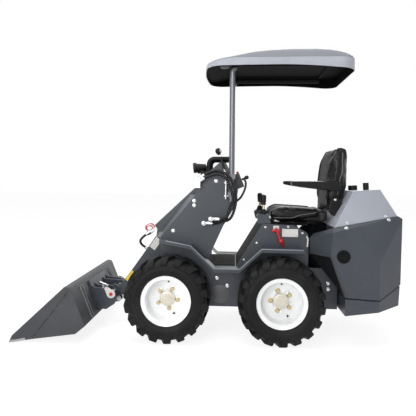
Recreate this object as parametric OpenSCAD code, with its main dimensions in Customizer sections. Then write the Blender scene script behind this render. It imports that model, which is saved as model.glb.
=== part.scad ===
// Compact yard loader: rigid frame, central boom, bucket, seat and canopy.
// +X is forward, +Y is the machine's left, +Z is up, millimetres.

/* [Wheels] */
// Distance between the front and rear axles
wheelbase = 770; // [700:5:840]
// Front axle position along the machine
front_axle_x = 272; // [262:1:282]
// Diameter over the tread lugs
tyre_d = 584; // [560:1:592]
// Section width of a tyre
tyre_w = 216; // [190:1:220]
// Distance between the left and right wheel centres
track = 804; // [804:1:840]
// Diameter over the rim flange
rim_d = 337; // [320:1:345]
// Lugs on each side of a tyre
lug_n = 18; // [14:1:18]

/* [Body] */
// Half width over the side plates
body_half = 262; // [256:1:268]
// Half width over the mudguards
guard_half = 385; // [350:1:400]
// Sheet thickness of the side plates
plate_t = 8; // [6:1:10]
// Height of the belly above the ground
belly_z = 205; // [190:1:220]
// Height of the footwell floor
deck_z = 490; // [480:1:500]
// Thickness of the mudguard sheet
guard_t = 6; // [4:1:8]
// Half width over the rear housing
rear_half = 460; // [440:1:480]

/* [Boom] */
// Boom pivot along the machine
pivot_x = -60; // [-70:1:-50]
// Boom pivot height
pivot_z = 1085; // [1075:1:1095]
// Half width over the boom side plates
boom_half = 90; // [84:1:94]
// Thickness of a boom side plate
boom_t = 15; // [10:1:18]
// Bucket pin along the machine
hitch_x = 718; // [710:1:726]
// Bucket pin height
hitch_z = 258; // [250:1:266]

/* [Bucket] */
// Half width over the bucket side plates
bucket_half = 540; // [480:1:545]
// Thickness of the bucket sheet
bucket_t = 8; // [6:1:12]

/* [Seat and canopy] */
// Half width of the seat cushion
seat_half = 230; // [200:1:236]
// Half width of the canopy
canopy_half = 380; // [340:1:420]
// Height of the crown of the canopy
crown_z = 2080; // [2060:1:2100]
// Diameter of a canopy post
post_d = 40; // [32:1:44]
// Canopy post position along the machine
post_x = -158; // [-165:1:-150]
// Wall of the canopy shell
roof_wall = 8; // [5:1:12]

/* [Rear] */
// Diameter of the tow eye
tow_d = 26; // [20:1:28]
// Half width of the pocket round the tow eye
tow_half = 110; // [90:1:130]

/* [Hidden] */
$fn = 64;
rear_axle_x = front_axle_x - wheelbase;
hub_z = tyre_d / 2;
wheel_y = track / 2;
deck_t = 10;
nut_circle = 69.9;
// bolt heads on a tower cover, XZ
cover_bolts = [[256, 735], [107, 920], [108, 952], [-48, 1096], [-184, 970]];
post_y = body_half + 3 + post_d / 2;
// lift cylinder: lower pin, upper pin, directions
lift_base = [120, 350];
lift_arm = 170;
lift_ang = -65;
lift_eye = [pivot_x + lift_arm * cos(lift_ang), pivot_z + lift_arm * sin(lift_ang)];
lift_len = norm(lift_eye - lift_base);
lift_dir = atan2(lift_eye[1] - lift_base[1], lift_eye[0] - lift_base[0]);
// tilt cylinder: upper pin on the boom, lower pin on the hitch
tilt_base = [350, 600];
tilt_arm = 75;
tilt_ang = -105;
tilt_eye = [hitch_x + tilt_arm * cos(tilt_ang), hitch_z + tilt_arm * sin(tilt_ang)];
tilt_len = norm(tilt_eye - tilt_base);
tilt_dir = atan2(tilt_eye[1] - tilt_base[1], tilt_eye[0] - tilt_base[0]);

// mudguard top line, front to rear
guard_line = [[338, 684], [292, 678], [119, 647], [-43, 493], [-220, 493], [-370, 633], [-654, 631],
    [-667, 608]];
// tower side outline
cover_line = [[0, deck_z], [300, deck_z], [340, 570], [354, 684], [101, 994], [84, 1066], [31, 1138],
    [-75, 1231], [-117, 1226], [-161, 1139], [-204, 1034], [-190, 930], [-101, 777], [-31, 620], [0, 555]];
// rear edge of the tower, where the bulkhead sits
bulk_line = [[0, deck_z], [0, 555], [-31, 620], [-101, 777], [-190, 930], [-204, 1034], [-161, 1139],
    [-117, 1226]];
// bucket shell outer line, top of the back to the lip
shell_line = [[902, 358], [804, 123], [869, 69], [1170, 26]];

// canopy side view: smooth top line through these points, front to rear
roof_side = [[42, crown_z - 158], [-140, crown_z - 114], [-340, crown_z - 50], [-550, crown_z - 8],
    [-740, crown_z], [-900, crown_z - 16], [-984, crown_z - 66]];
// canopy end view: smooth line from the crease to the crown
roof_end = [[canopy_half, crown_z - 128], [canopy_half - 46, crown_z - 88], [canopy_half - 120, crown_z - 42],
    [canopy_half - 250, crown_z - 8], [0, crown_z + 1]];
// front edge of the canopy at the middle, and how far it bows
roof_front = 46;
roof_bow = 40;
// rear edge of the canopy, and the lowest height that its skirt may reach
roof_rear = -1004;
roof_low = crown_z - 230;
// lining height and thickness
lining_z = crown_z - 135;
lining_t = 6;

// plate with outline pts in XZ, from y0 to y1
module plate(pts, y0, y1) {
    translate([0, y1, 0]) rotate([90, 0, 0]) linear_extrude(y1 - y0) polygon(pts);
}

// cylinder along Y
module ycyl(x, z, r, y0, y1) {
    translate([x, y1, z]) rotate([90, 0, 0]) cylinder(r = r, h = y1 - y0);
}

// box by its corners
module box(a, b) {
    translate(a) cube(b - a);
}

// sheet between corner points, thickened by the vector d
module sheet(pts, d) {
    n = len(pts);
    up = cross(pts[1] - pts[0], pts[2] - pts[0]) * d;
    top = up > 0 ? pts : [for (i = [n - 1:-1:0]) pts[i]];
    low = [for (p = top) p + d];
    caps = [for (i = [1:n - 2]) [0, i, i + 1]];
    floors = [for (i = [1:n - 2]) [n, n + i + 1, n + i]];
    sides = [for (i = [0:n - 1]) [i, i + n, (i + 1) % n + n, (i + 1) % n]];
    polyhedron(points = concat(top, low), faces = concat(caps, floors, sides));
}

// strip of constant height below a line of points
module strip(line, t, y0, y1) {
    plate(concat(line, [for (i = [len(line) - 1:-1:0]) line[i] - t]), y0, y1);
}

// cylinder from point p to point q
module rod(p, q, r) {
    v = q - p;
    translate(p) rotate([0, acos(v[2] / norm(v)), atan2(v[1], v[0])]) cylinder(r = r, h = norm(v));
}

// quarter bend of radius big in the XZ plane, from straight up at the origin towards -X
module quarter(big, r) {
    translate([-big, 0, 0]) rotate([90, 0, 0]) rotate_extrude(angle = 90) translate([big, 0]) circle(r);
}

// point on a smooth curve through points, t runs from 0 to the last index
function curve_at(p, t) =
    let (n = len(p), i = min(floor(t), n - 2), u = t - i)
    let (a = p[max(i - 1, 0)], b = p[i], c = p[i + 1], e = p[min(i + 2, n - 1)])
    let (k1 = c - a, k2 = 2 * a - 5 * b + 4 * c - e, k3 = 3 * b - a - 3 * c + e)
    0.5 * (2 * b + k1 * u + k2 * u * u + k3 * u * u * u);

// hose of radius r swept along a smooth curve through points, in planes near to XZ
module hose(p, r, steps) {
    sides = 10;
    m = (len(p) - 1) * steps;
    c = [for (k = [0:m]) curve_at(p, k / steps)];
    first = p[1] - p[0];
    last = p[len(p) - 1] - p[len(p) - 2];
    way = [for (k = [0:m]) k == 0 ? first : k == m ? last : c[k + 1] - c[k - 1]];
    t = [for (v = way) v / norm(v)];
    ring = [for (k = [0:m]) for (j = [0:sides - 1])
        let (w = cross(t[k], [0, 1, 0]), x = w / norm(w), y = cross(x, t[k]), a = 360 * j / sides)
        c[k] + r * (cos(a) * x + sin(a) * y)];
    skin = [for (k = [0:m - 1]) for (j = [0:sides - 1])
        let (a = k * sides + j, b = k * sides + (j + 1) % sides)
        [a, b, b + sides, a + sides]];
    tris = [for (q = skin) for (h = [0, 1]) h == 0 ? [q[0], q[1], q[2]] : [q[0], q[2], q[3]]];
    ends = [[for (j = [sides - 1:-1:0]) j], [for (j = [0:sides - 1]) m * sides + j]];
    polyhedron(points = ring, faces = concat(tris, ends));
}

// children in the frame of a cylinder that starts at pin p in XZ at angle a
module along(p, a) {
    translate([p[0], 0, p[1]]) rotate([0, -a, 0]) children();
}

// children on the left or the right side
module side(s) {
    if (s > 0) children();
    else mirror([0, 1, 0]) children();
}

module both() {
    side(1) children();
    side(-1) children();
}

module chassis_tub() {
    hull_line = [[300, deck_z], [440, 250], [440, belly_z], [-905, belly_z], [-905, deck_z]];
    color("#5a5f69") {
        both() difference() {
            plate(hull_line, body_half - 10, body_half);
            for (x = [front_axle_x, rear_axle_x]) ycyl(x, hub_z, 58.3, body_half - 20, body_half + 10);
        }
        box([-905, -body_half + 10, belly_z], [440, body_half - 10, belly_z + 10]);
        difference() {
            box([-330, -body_half + 10, deck_z - deck_t], [300, body_half - 10, deck_z]);
            box([20, -60, deck_z - 20], [170, 60, deck_z + 10]);
        }
        plate([[300, deck_z - 1], [440, 250], [440, belly_z], [428, belly_z], [428, 248], [290, deck_z - 1]],
            -body_half + 10, body_half - 10);
        box([-905, -body_half + 10, belly_z], [-895, body_half - 10, deck_z]);
        both() difference() {
            union() {
                ycyl(lift_base[0], lift_base[1], 40, 32, 47);
                plate([[70, belly_z + 5], [170, belly_z + 5], [155, 360], [85, 360]], 32, 47);
            }
            ycyl(lift_base[0], lift_base[1], 15.3, 20, 60);
        }
    }
}

module tower_frame() {
    color("#5a5f69") difference() {
        union() {
            plate([[250, deck_z], [270, 640], [60, 990], [-10, 1130], [-130, 1085], [-120, 990], [-4, 640],
                [28, deck_z]],
                110, 125);
            ycyl(pivot_x, pivot_z, 72, 110, 125);
        }
        ycyl(pivot_x, pivot_z, 28.3, 100, 140);
    }
}
module tower_frames() {
    both() tower_frame();
}

module tower_cover() {
    color("#5a5f69") {
        plate(cover_line, body_half - plate_t, body_half);
        sheet([[354, body_half - 1, 684], [101, body_half - 1, 994], [146, 126, 994], [399, 126, 684]],
            [-8, 0, 0]);
        box([60, 125, deck_z], [300, body_half - plate_t, deck_z + 12]);
        for (b = cover_bolts) translate([b[0], body_half - 1, b[1]]) rotate([-90, 0, 0]) cylinder(r = 9,
            h = 7, $fn = 6);
    }
}
module tower_cover_left() {
    tower_cover();
}
module tower_cover_right() {
    side(-1) tower_cover();
}

module tower_bulkhead() {
    n = len(bulk_line);
    color("#5a5f69") {
        plate(concat(bulk_line, [for (i = [n - 1:-1:0]) bulk_line[i] + [7, 0]]), -body_half + plate_t,
            body_half - plate_t);
        plate([[-199, 1040], [-160, 1135], [-209, 1154], [-248, 1059]], 140, 232);
        for (y = [158, 186, 214]) {
            rod([-222, y, 1104], [-262, y, 1122], 6);
            translate([-266, y, 1124]) sphere(r = 12, $fn = 32);
        }
    }
}

module boom_pin() {
    color("#b9bbbf") {
        ycyl(pivot_x, pivot_z, 28, -125, 125);
        both() ycyl(pivot_x, pivot_z, 42, 125, 133);
        ycyl(lift_base[0], lift_base[1], 15, -52, 52);
    }
}

module mudguard() {
    color("#8d929c") {
        strip(guard_line, [0, guard_t], body_half, guard_half);
        strip(guard_line, [0, 24], guard_half - 6, guard_half);
    }
}
module mudguards() {
    both() mudguard();
}

module floor_mat() {
    color("#202224") {
        box([-188, -236, deck_z], [-4, 236, deck_z + 6]);
        for (x = [-180:16:-20]) box([x, -228, deck_z + 5], [x + 7, 228, deck_z + 9]);
    }
}

module wheel_motors() {
    color("#4a4d52") both() for (x = [front_axle_x, rear_axle_x]) {
        ycyl(x, hub_z, 58, 120, body_half + 1);
        ycyl(x, hub_z, 84, body_half, body_half + 12);
        ycyl(x, hub_z, 30, body_half + 10, wheel_y - 16);
    }
}

module seat_box_side() {
    color("#5a5f69")
        plate([[-195, deck_z], [-208, 514], [-380, 796], [-601, 790], [-692, 737], [-709, 702],
            [-700, deck_z]],
            body_half - plate_t, body_half);
}
module seat_box_sides() {
    both() seat_box_side();
}

module seat_box_front() {
    color("#5a5f69")
        plate([[-195, deck_z], [-208, 514], [-380, 796], [-700, 796], [-700, 788], [-385, 788],
            [-217, 514], [-204, deck_z]],
            -body_half + plate_t, body_half - plate_t);
}

module consoles() {
    color("#33363b") both() {
        plate([[-352, 796], [-338, 850], [-348, 864], [-424, 864], [-440, 796]], 200, 252);
    }
}

module joysticks() {
    color("#17181a") both() {
        translate([-386, 226, 864]) cylinder(r1 = 24, r2 = 12, h = 34);
        translate([-386, 226, 897]) cylinder(r = 8, h = 40);
        translate([-386, 226, 930]) cylinder(r1 = 15, r2 = 19, h = 50);
        translate([-386, 226, 980]) sphere(r = 19);
    }
}

module seat_base() {
    color("#2a2c2f") box([-780, -180, 796], [-470, 180, 814]);
}

module seat_cushion() {
    color("#1b1c1e") {
        plate([[-432, 880], [-438, 925], [-470, 940], [-770, 915], [-845, 925], [-845, 830], [-800, 814],
            [-500, 814], [-440, 840]], -seat_half + 12, seat_half - 12);
        both() plate([[-440, 878], [-446, 930], [-480, 952], [-768, 930], [-770, 880], [-560, 846]],
            seat_half - 60, seat_half);
    }
}

module seat_back() {
    color("#1b1c1e") {
        plate([[-776, 915.8], [-779, 1100], [-823, 1290], [-870, 1345], [-907, 1348], [-960, 1335],
            [-972, 1310], [-966, 1060], [-925, 1000], [-845, 925]], -seat_half + 12, seat_half - 12);
        both() plate([[-790, 950], [-764, 1000], [-766, 1100], [-808, 1276], [-862, 1326], [-916, 1322],
            [-930, 1060], [-890, 985]], seat_half - 60, seat_half);
    }
}

module armrests() {
    color("#1b1c1e") both() {
        plate([[-588, 1071], [-588, 1101], [-915, 1101], [-922, 1035], [-880, 1035], [-720, 1050]],
            seat_half + 14, seat_half + 64);
        ycyl(-588, 1086, 15, seat_half + 14, seat_half + 64);
        box([-915, seat_half, 1045], [-880, seat_half + 15, 1085]);
    }
}

module engine_block() {
    color("#6b6e72") box([-1240, -190, 316], [-915, 190, 800]);
}

// corner points of the rear housing on the left side, outside and inside
house_out = [[-830, rear_half, 762], [-819, rear_half, 603], [-913, rear_half, 335], [-1137, rear_half, 566],
    [-1137, rear_half, 322], [-1323, rear_half - 130, 851], [-1311, rear_half - 122, 405], [-709, 300, 712],
    [-706, 300, 600], [-841, rear_half - 30, 790], [-1298, rear_half - 138, 868], [-740, 300, 740]];
house_in = [[-834, rear_half - 9, 755], [-826, rear_half - 9, 603], [-921, rear_half - 9, 305],
    [-1133, rear_half - 9, 562],
    [-1133, rear_half - 9, 300], [-1313, rear_half - 136, 846], [-1301, rear_half - 128, 380], [-717, 290,
        705],
    [-714, 290, 600], [-855, rear_half - 50, 820], [-1284, rear_half - 152, 890], [-755, 285, 770]];

// half width of the rear panel and of its cooling slots
panel_half = rear_half - 142;
slot_half = panel_half - 98;

// convex solid with the given corners on the left and their mirror images
module faceted(half) {
    all = concat(half, [for (p = half) [p[0], -p[1], p[2]]]);
    hull() polyhedron(points = all, faces = [for (i = [1:len(all) - 2]) [0, i, i + 1]]);
}

// skin of the rear housing, open to the hood, the frame and the ground
module housing() {
    difference() {
        faceted(house_out);
        faceted(house_in);
        box([-906, -body_half - 0.5, 200], [-600, body_half + 0.5, 900]);
        box([-760, -290, 200], [-600, 290, 900]);
    }
}

module rear_side_left() {
    color("#565b65") difference() {
        housing();
        box([-1400, -600, 200], [-600, 1, 1000]);
        box([-1400, -panel_half, 200], [-1250, panel_half, 1000]);
    }
    color("#565b65") {
        box([-905, body_half, 400], [-895, rear_half - 4, 460]);
        difference() {
            ycyl(-901, 605, 43, rear_half - 8, rear_half + 4);
            ycyl(-901, 605, 33, rear_half - 4, rear_half + 8);
        }
    }
}
module rear_side_right() {
    side(-1) rear_side_left();
}

module rear_panel() {
    color("#565b65") difference() {
        intersection() {
            housing();
            box([-1400, -panel_half, 200], [-1250, panel_half, 1000]);
        }
        for (z = [480:36:780]) box([-1400, -slot_half, z], [-1280, slot_half, z + 16]);
    }
}

// height of the housing's shoulder, which carries the hood
function shoulder_z(x) = 790 + (-841 - x) * 78 / 457;
// hood corners on the left side, foot and top
hood_foot = [[-846, rear_half - 36, shoulder_z(-846)], [-1294, rear_half - 142, shoulder_z(-1294)]];
hood_top = [[-991, 330, 1037], [-1184, 290, 1049]];
hood_tilt = atan2(hood_top[1][2] - hood_top[0][2], hood_top[0][0] - hood_top[1][0]);
function hood_z(x) = hood_top[0][2] + (hood_top[0][0] - x) * tan(hood_tilt);

module hood() {
    outer = concat(hood_foot, hood_top);
    inner = [hood_foot[0] + [-5, -5, -10], hood_foot[1] + [5, -5, -10], hood_top[0] + [-3, -5, -4],
        hood_top[1] + [3, -5, -4]];
    color("#bec1cb") difference() {
        faceted(outer);
        faceted(inner);
    }
}

// tow eye in a notch of the counterweight, its pin upright
tow_x = -1293;

module counterweight() {
    w = rear_half - 3;
    v = rear_half - 125;
    color("#4d5159") {
        difference() {
            faceted([[-913, w, 213], [-1132, w, 242], [-1300, v, 262], [-913, w, 324], [-1136, w, 312],
                [-1308, v, 394]]);
            box([-1400, -192, 316], [-800, 192, 500]);
            box([-1400, -tow_half, 200], [tow_x + 43, tow_half, 340]);
        }
        box([-920, -230, 232], [-905, 230, 312]);
        difference() {
            union() {
                translate([tow_x, 0, 288]) cylinder(r = 27, h = 20);
                box([tow_x, -27, 288], [tow_x + 48, 27, 308]);
            }
            translate([tow_x, 0, 200]) cylinder(r = tow_d / 2, h = 200);
        }
    }
}

module filler_caps() {
    color("#17181a") {
        for (c = [[-1040, 120, 32, 34], [-1110, 210, 20, 50]])
            translate([c[0], c[1], hood_z(c[0])]) rotate([0, hood_tilt, 0]) cylinder(r = c[2], h = c[3]);
    }
}

module canopy_frame() {
    r = post_d / 2;
    bend = 60;
    rail_z = lining_z - r - 4;
    color("#2b2d30") both() translate([0, post_y, 0]) {
        translate([post_x, 0, 950]) cylinder(r = r, h = rail_z - bend - 950);
        translate([post_x, 0, rail_z - bend]) quarter(bend, r);
        rod([post_x - bend, 0, rail_z], [-860, 0, rail_z], r);
        for (z = [985, 1110]) box([post_x - 26, body_half - post_y, z], [post_x + 26, 24, z + 34]);
        for (x = [-300, -800]) box([x - 20, -12, rail_z + 4], [x + 20, 12, lining_z]);
    }
}

// points on the smooth curve through p, with the given steps to a span
function curve(p, steps) = [for (k = [0:(len(p) - 1) * steps]) curve_at(p, k / steps)];

// solid of the canopy inside its outer face by the distance d, from the height z up
module roof_body(d, z) {
    side_line = [for (p = curve(roof_side, 3)) p - [0, d]];
    end_line = [for (p = curve(roof_end, 3)) p - [p[0] > 1 ? d : 0, d]];
    bow_r = (canopy_half * canopy_half + roof_bow * roof_bow) / (2 * roof_bow);
    n = len(end_line);
    intersection() {
        plate(concat([[roof_front, z], [roof_front, crown_z - 159 - d]], side_line, [[roof_rear + d,
            roof_low + 16], [roof_rear + d, z]]),
            -canopy_half + d, canopy_half - d);
        translate([-1100, 0, 0]) rotate([90, 0, 90]) linear_extrude(1300)
            polygon(concat([[canopy_half - d, z]], end_line, [for (i = [n - 2:-1:0]) [-end_line[i][0],
                end_line[i][1]]],
                [[-canopy_half + d, z]]));
        translate([roof_front - bow_r, 0, roof_low - 150]) cylinder(r = bow_r - d, h = 500, $fn = 200);
    }
}

module canopy_roof() {
    color("#a4a8b2") difference() {
        roof_body(0, roof_low);
        roof_body(roof_wall, roof_low - 50);
        plate([[200, roof_low - 50], [200, roof_low + 30], [30, roof_low + 40], [-500, roof_low + 47],
            [roof_rear - 16, roof_low + 14], [roof_rear - 96, roof_low + 14], [roof_rear - 96,
                roof_low - 50]],
            -canopy_half - 10, canopy_half + 10);
    }
}

module canopy_lining() {
    color("#1c1d1f") intersection() {
        roof_body(roof_wall, roof_low);
        difference() {
            box([-1100, -600, lining_z], [200, 600, lining_z + lining_t]);
            for (y = [-170, 170]) box([-800, y - 90, lining_z - 10], [-160, y + 90, lining_z + 2]);
        }
    }
}

module grab_bar() {
    r = 17;
    color("#17181a") {
        both() translate([10, 150, 0]) {
            translate([0, 0, 1110]) cylinder(r = r, h = 108);
            translate([0, 0, 1218]) quarter(40, r);
            rod([-40, 0, 1258], [-150, 0, 1258], r);
            box([-20, -25, 1102], [20, body_half - plate_t - 150, 1112]);
        }
        ycyl(-150, 1258, r + 4, -170, 170);
    }
}

module work_lamps() {
    color("#d9dbe0") both() {
        translate([30, 175, 1198]) rotate([0, 96, 0]) {
            cylinder(r1 = 20, r2 = 31, h = 72);
            translate([0, 0, 70]) difference() {
                cylinder(r = 36, h = 22);
                translate([0, 0, 14]) cylinder(r = 31, h = 20);
            }
        }
        box([46, 168, 1130], [70, 182, 1190]);
        box([28, 150, 1118], [78, body_half - plate_t, 1130]);
    }
}

// hoses on the left of the tower: lower fitting along X and its height, distance out from the cover,
// height of the upper end, how far the hose runs inside the outer one, rise at its first bend
hose_rows = [[35, 796, 24, 1113, 0, 46], [-15, 828, 48, 1090, 22, 76]];
sleeve = 56;
sleeve_dir = [-5, 0, 3] / norm([-5, 0, 3]);
function sleeve_foot(h) = [86, body_half + h[2], h[3] - 6];

module tower_hoses() {
    lead = [-14, 0, 0];
    color("#141516") for (h = hose_rows) {
        y = body_half + h[2];
        low = [h[0] - sleeve - 0.4, y, h[1]];
        top = sleeve_foot(h) + (sleeve + 0.4) * sleeve_dir;
        hose([low, low + lead, [h[0] - 108, y + h[4] / 2, h[1] + 8], [-156 + h[4] / 2, y + 30, h[1] + h[5]],
            [-190 + h[4], y + 46, 985], [-144 + h[4], y + 48, 1122 - h[4] / 2], [-56, y + 24, h[3] + 54],
            top + 14 * sleeve_dir, top], 10, 4);
    }
}

module hose_fittings() {
    color("#c8cacd") {
        for (h = hose_rows) {
            y = body_half + h[2];
            ycyl(h[0], h[1], 15, body_half, y + 14);
            rod([h[0], y, h[1]], [h[0] - sleeve, y, h[1]], 12.5);
            rod(sleeve_foot(h), sleeve_foot(h) + sleeve * sleeve_dir, 12.5);
        }
        box([62, body_half, 1046], [100, body_half + 64, 1112]);
        rod([-118, body_half + 16, 968], [-118, body_half + 16, 1130], 8);
        rod([-118, body_half + 16, 1128], [-72, body_half + 16, 1292], 6);
        translate([-67, body_half + 16, 1308]) sphere(r = 19, $fn = 32);
        for (z = [984, 1076]) box([-130, body_half, z], [-106, body_half + 16, z + 14]);
    }
}

// tyre with lugs that take turns on its two sides; each station round the ring holds ten points from
// bead to bead, and half a section lists radius, distance out and sweep in degrees
module tyre() {
    r = tyre_d / 2;
    h = tyre_w / 2;
    f = rim_d / 2;
    pitch = 360 / lug_n;
    bead = [[f - 16.1, 83.4, 0], [f + 1.1, 90.7, 0]];
    groove = concat(bead, [[238, h - 6, 2], [262, h - 15, 2], [r - 21, 34, -4]]);
    lug = concat(bead, [[232, h, 2], [r - 6, h - 12, 2], [r, 6, -4]]);
    stations = [for (i = [0:lug_n - 1]) for (k = [0:3]) [(i + [0, 0.4, 0.5, 0.9][k]) * pitch, k < 2]];
    m = len(stations);
    points = [for (s = stations) for (j = [0:9])
        let (left = j < 5, row = left == s[1] ? lug : groove, q = row[left ? j : 9 - j])
        let (a = s[0] + q[2] - lug[4][2] - 90)
        [q[0] * cos(a), left ? q[1] : -q[1], q[0] * sin(a)]];
    faces = [for (k = [0:m - 1]) for (j = [0:9])
        let (n = (j + 1) % 10, a = 10 * k, b = 10 * ((k + 1) % m))
        for (t = [[a + j, a + n, b + n], [a + j, b + n, b + j]]) t];
    color("#1d1e20") polyhedron(points = points, faces = faces);
}
module tyre_front_left() {
    translate([front_axle_x, wheel_y, hub_z]) tyre();
}
module tyre_front_right() {
    translate([front_axle_x, -wheel_y, hub_z]) tyre();
}
module tyre_rear_left() {
    translate([rear_axle_x, wheel_y, hub_z]) tyre();
}
module tyre_rear_right() {
    translate([rear_axle_x, -wheel_y, hub_z]) tyre();
}

// rim with its disc and hub, outer side towards +Y
module rim() {
    f = rim_d / 2;
    section = [[0, 0], [0, 14], [52, 14], [54, 2], [f - 40, 2], [f - 28, 20], [f - 27, 86], [f - 6, 92],
        [f, 99],
        [f, 91], [f - 8, 91], [f - 17, 84], [f - 17, -84], [f - 8, -91], [f, -91], [f, -99], [f - 6, -92],
        [f - 27, -86], [f - 28, -12], [f - 48, -9], [56, -9], [54, -90], [31, -90], [31, -14], [0, -14]];
    color("#eceef0") {
        rotate([-90, 0, 0]) rotate_extrude($fn = 96) polygon(section);
        for (a = [20:72:340]) rotate([0, a, 0]) translate([nut_circle, 1, 0])
            rotate([-90, 0, 0]) cylinder(r = 12, h = 16, $fn = 6);
        ycyl(0, 0, 28, 13, 19);
    }
}
module rim_front_left() {
    translate([front_axle_x, wheel_y, hub_z]) rim();
}
module rim_front_right() {
    translate([front_axle_x, -wheel_y, hub_z]) side(-1) rim();
}
module rim_rear_left() {
    translate([rear_axle_x, wheel_y, hub_z]) rim();
}
module rim_rear_right() {
    translate([rear_axle_x, -wheel_y, hub_z]) side(-1) rim();
}

// point on the boom's blunt front face above its bend, from its foot at 0 to its top at 1
function on_nose(t) = [399 + 16 * t, 728 + 26 * t];

module boom() {
    round_end = [for (a = [46.5, 75, 100, 125, 150, 175, 200]) [pivot_x + 91 * cos(a),
        pivot_z + 91 * sin(a)]];
    line = concat(round_end, [[-42, 872], [64, 838], [300, 585], [531, 316], [640, 226], [700, 225],
        [690, 280], [581, 430],
        [405, 681], [399, 728], [418, 758]]);
    in_y = boom_half - boom_t;
    color("#5a5f69") difference() {
        union() {
            both() {
                plate(line, in_y, boom_half);
                ycyl(hitch_x, hitch_z, 45, in_y, boom_half);
                ycyl(lift_eye[0], lift_eye[1], 18, 28, in_y + 2);
            }
            ycyl(pivot_x, pivot_z, 46, -104, 104);
            plate([[6, 1147], [418, 758], [408, 747], [-2, 1135]], -in_y - 1, in_y + 1);
            plate([on_nose(1), on_nose(0), [405, 683], [393, 683], [387, 729], [404, 754]], -in_y - 1,
                in_y + 1);
            plate([[405, 681], [560, 460], [552, 454], [396, 676]], -in_y - 1, in_y + 1);
            plate([[300, 587], [160, 737], [168, 745], [308, 595]], -in_y - 1, in_y + 1);
            ycyl(tilt_base[0], tilt_base[1], 15, -in_y - 1, in_y + 1);
        }
        ycyl(pivot_x, pivot_z, 28.3, -120, 120);
        both() ycyl(hitch_x, hitch_z, 20.3, 40, 120);
    }
}

module boom_couplers() {
    color("#c8cacd") {
        plate([on_nose(0.7), on_nose(0.22), [452, 695], [462, 707]], -60, 60);
        for (y = [-36, 0, 36]) {
            rod(coupler_end - 37 * coupler_dir + [0, y, 0], coupler_end + [0, y, 0], 15);
            rod(coupler_end - 16 * coupler_dir + [0, y, 0], coupler_end - 6 * coupler_dir + [0, y, 0], 17);
        }
    }
}

// end of the middle coupler and the way it points, foot of its hose on the boom and the way that face looks
coupler_end = [478, 0, 690];
coupler_dir = [15, 0, -11] / norm([15, 0, -11]);
hose_foot = [482.46, 36, 570.56];
hose_dir = [221, 0, 155] / norm([221, 0, 155]);

module boom_hose() {
    top = coupler_end + [0, 36, 0] + 0.4 * coupler_dir;
    foot = hose_foot + 0.4 * hose_dir;
    color("#141516") hose([top, top + 14 * coupler_dir, [516, 42, 660], [536, 46, 632], [526, 42, 604],
        foot + 14 * hose_dir, foot], 9, 4);
}

// barrel along its own +X from the pin, with an eye and an open end
module barrel(r, bore, rod_r, len, eye_r, pin_r, eye_w) {
    difference() {
        union() {
            ycyl(0, 0, eye_r, -eye_w, eye_w);
            rotate([0, 90, 0]) cylinder(r = eye_w - 2, h = eye_r + 20);
            translate([eye_r + 14, 0, 0]) rotate([0, 90, 0]) cylinder(r = r, h = len - eye_r - 14);
        }
        ycyl(0, 0, pin_r, -60, 60);
        translate([eye_r + 24, 0, 0]) rotate([0, 90, 0]) cylinder(r = bore, h = len - eye_r - 44);
        translate([eye_r + 24, 0, 0]) rotate([0, 90, 0]) cylinder(r = rod_r, h = len);
    }
}

module lift_barrel() {
    color("#2b2d30") along(lift_base, lift_dir) barrel(36, 28, 20.4, 480, 34, 15.3, 26);
}

module lift_rod() {
    color("#d5d8dc") along(lift_base, lift_dir) difference() {
        union() {
            translate([lift_len - 410, 0, 0]) rotate([0, 90, 0]) cylinder(r = 20, h = 410);
            ycyl(lift_len, 0, 34, -22, 22);
        }
        ycyl(lift_len, 0, 18.4, -40, 40);
    }
}

module tilt_barrel() {
    color("#2b2d30") along(tilt_base, tilt_dir) barrel(31, 24, 16.4, 340, 28, 15.4, 30);
}

module tilt_rod() {
    color("#d5d8dc") along(tilt_base, tilt_dir) difference() {
        union() {
            translate([tilt_len - 320, 0, 0]) rotate([0, 90, 0]) cylinder(r = 16, h = 320);
            ycyl(tilt_len, 0, 26, -20, 20);
        }
        ycyl(tilt_len, 0, 14.4, -40, 40);
    }
}

module hitch() {
    back = [for (t = [0.06, 0.96]) shell_line[1] + t * (shell_line[0] - shell_line[1])];
    color("#4d5159") {
        plate([back[0], back[1], back[1] + [-13.8, 5.8], back[0] + [-13.8, 5.8]], -200, 200);
        both() {
            difference() {
                union() {
                    plate([[804, 148], [878, 326], [846, 304], [742, 300], [690, 268], [684, 232],
                        [742, 168]], 96, 110);
                    plate([[804, 148], [880, 330], [846, 304], [744, 296], [690, 268], [672, 236],
                        [692, 186], [754, 144]], 190, 200);
                }
                ycyl(hitch_x, hitch_z, 20.3, 80, 220);
            }
            plate([[804, 150], [816, 178], [740, 200], [tilt_eye[0], tilt_eye[1] + 24], [tilt_eye[0] - 22,
                tilt_eye[1] - 6],
                [tilt_eye[0], tilt_eye[1] - 24]], 26, 40);
        }
    }
}

module hitch_pins() {
    color("#b9bbbf") both() {
        ycyl(hitch_x, hitch_z, 20, 66, 204);
        ycyl(hitch_x, hitch_z, 30, 200, 206);
        plate([[hitch_x - 21, hitch_z + 19], [hitch_x + 25, hitch_z + 46], [hitch_x + 43, hitch_z + 30],
            [hitch_x + 21, hitch_z - 19]], 200, 206);
        ycyl(hitch_x + 34, hitch_z + 38, 13, 200, 206);
        ycyl(hitch_x, hitch_z, 12, 200, 214);
        ycyl(tilt_eye[0], tilt_eye[1], 18, 40, 46);
    }
}

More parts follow.
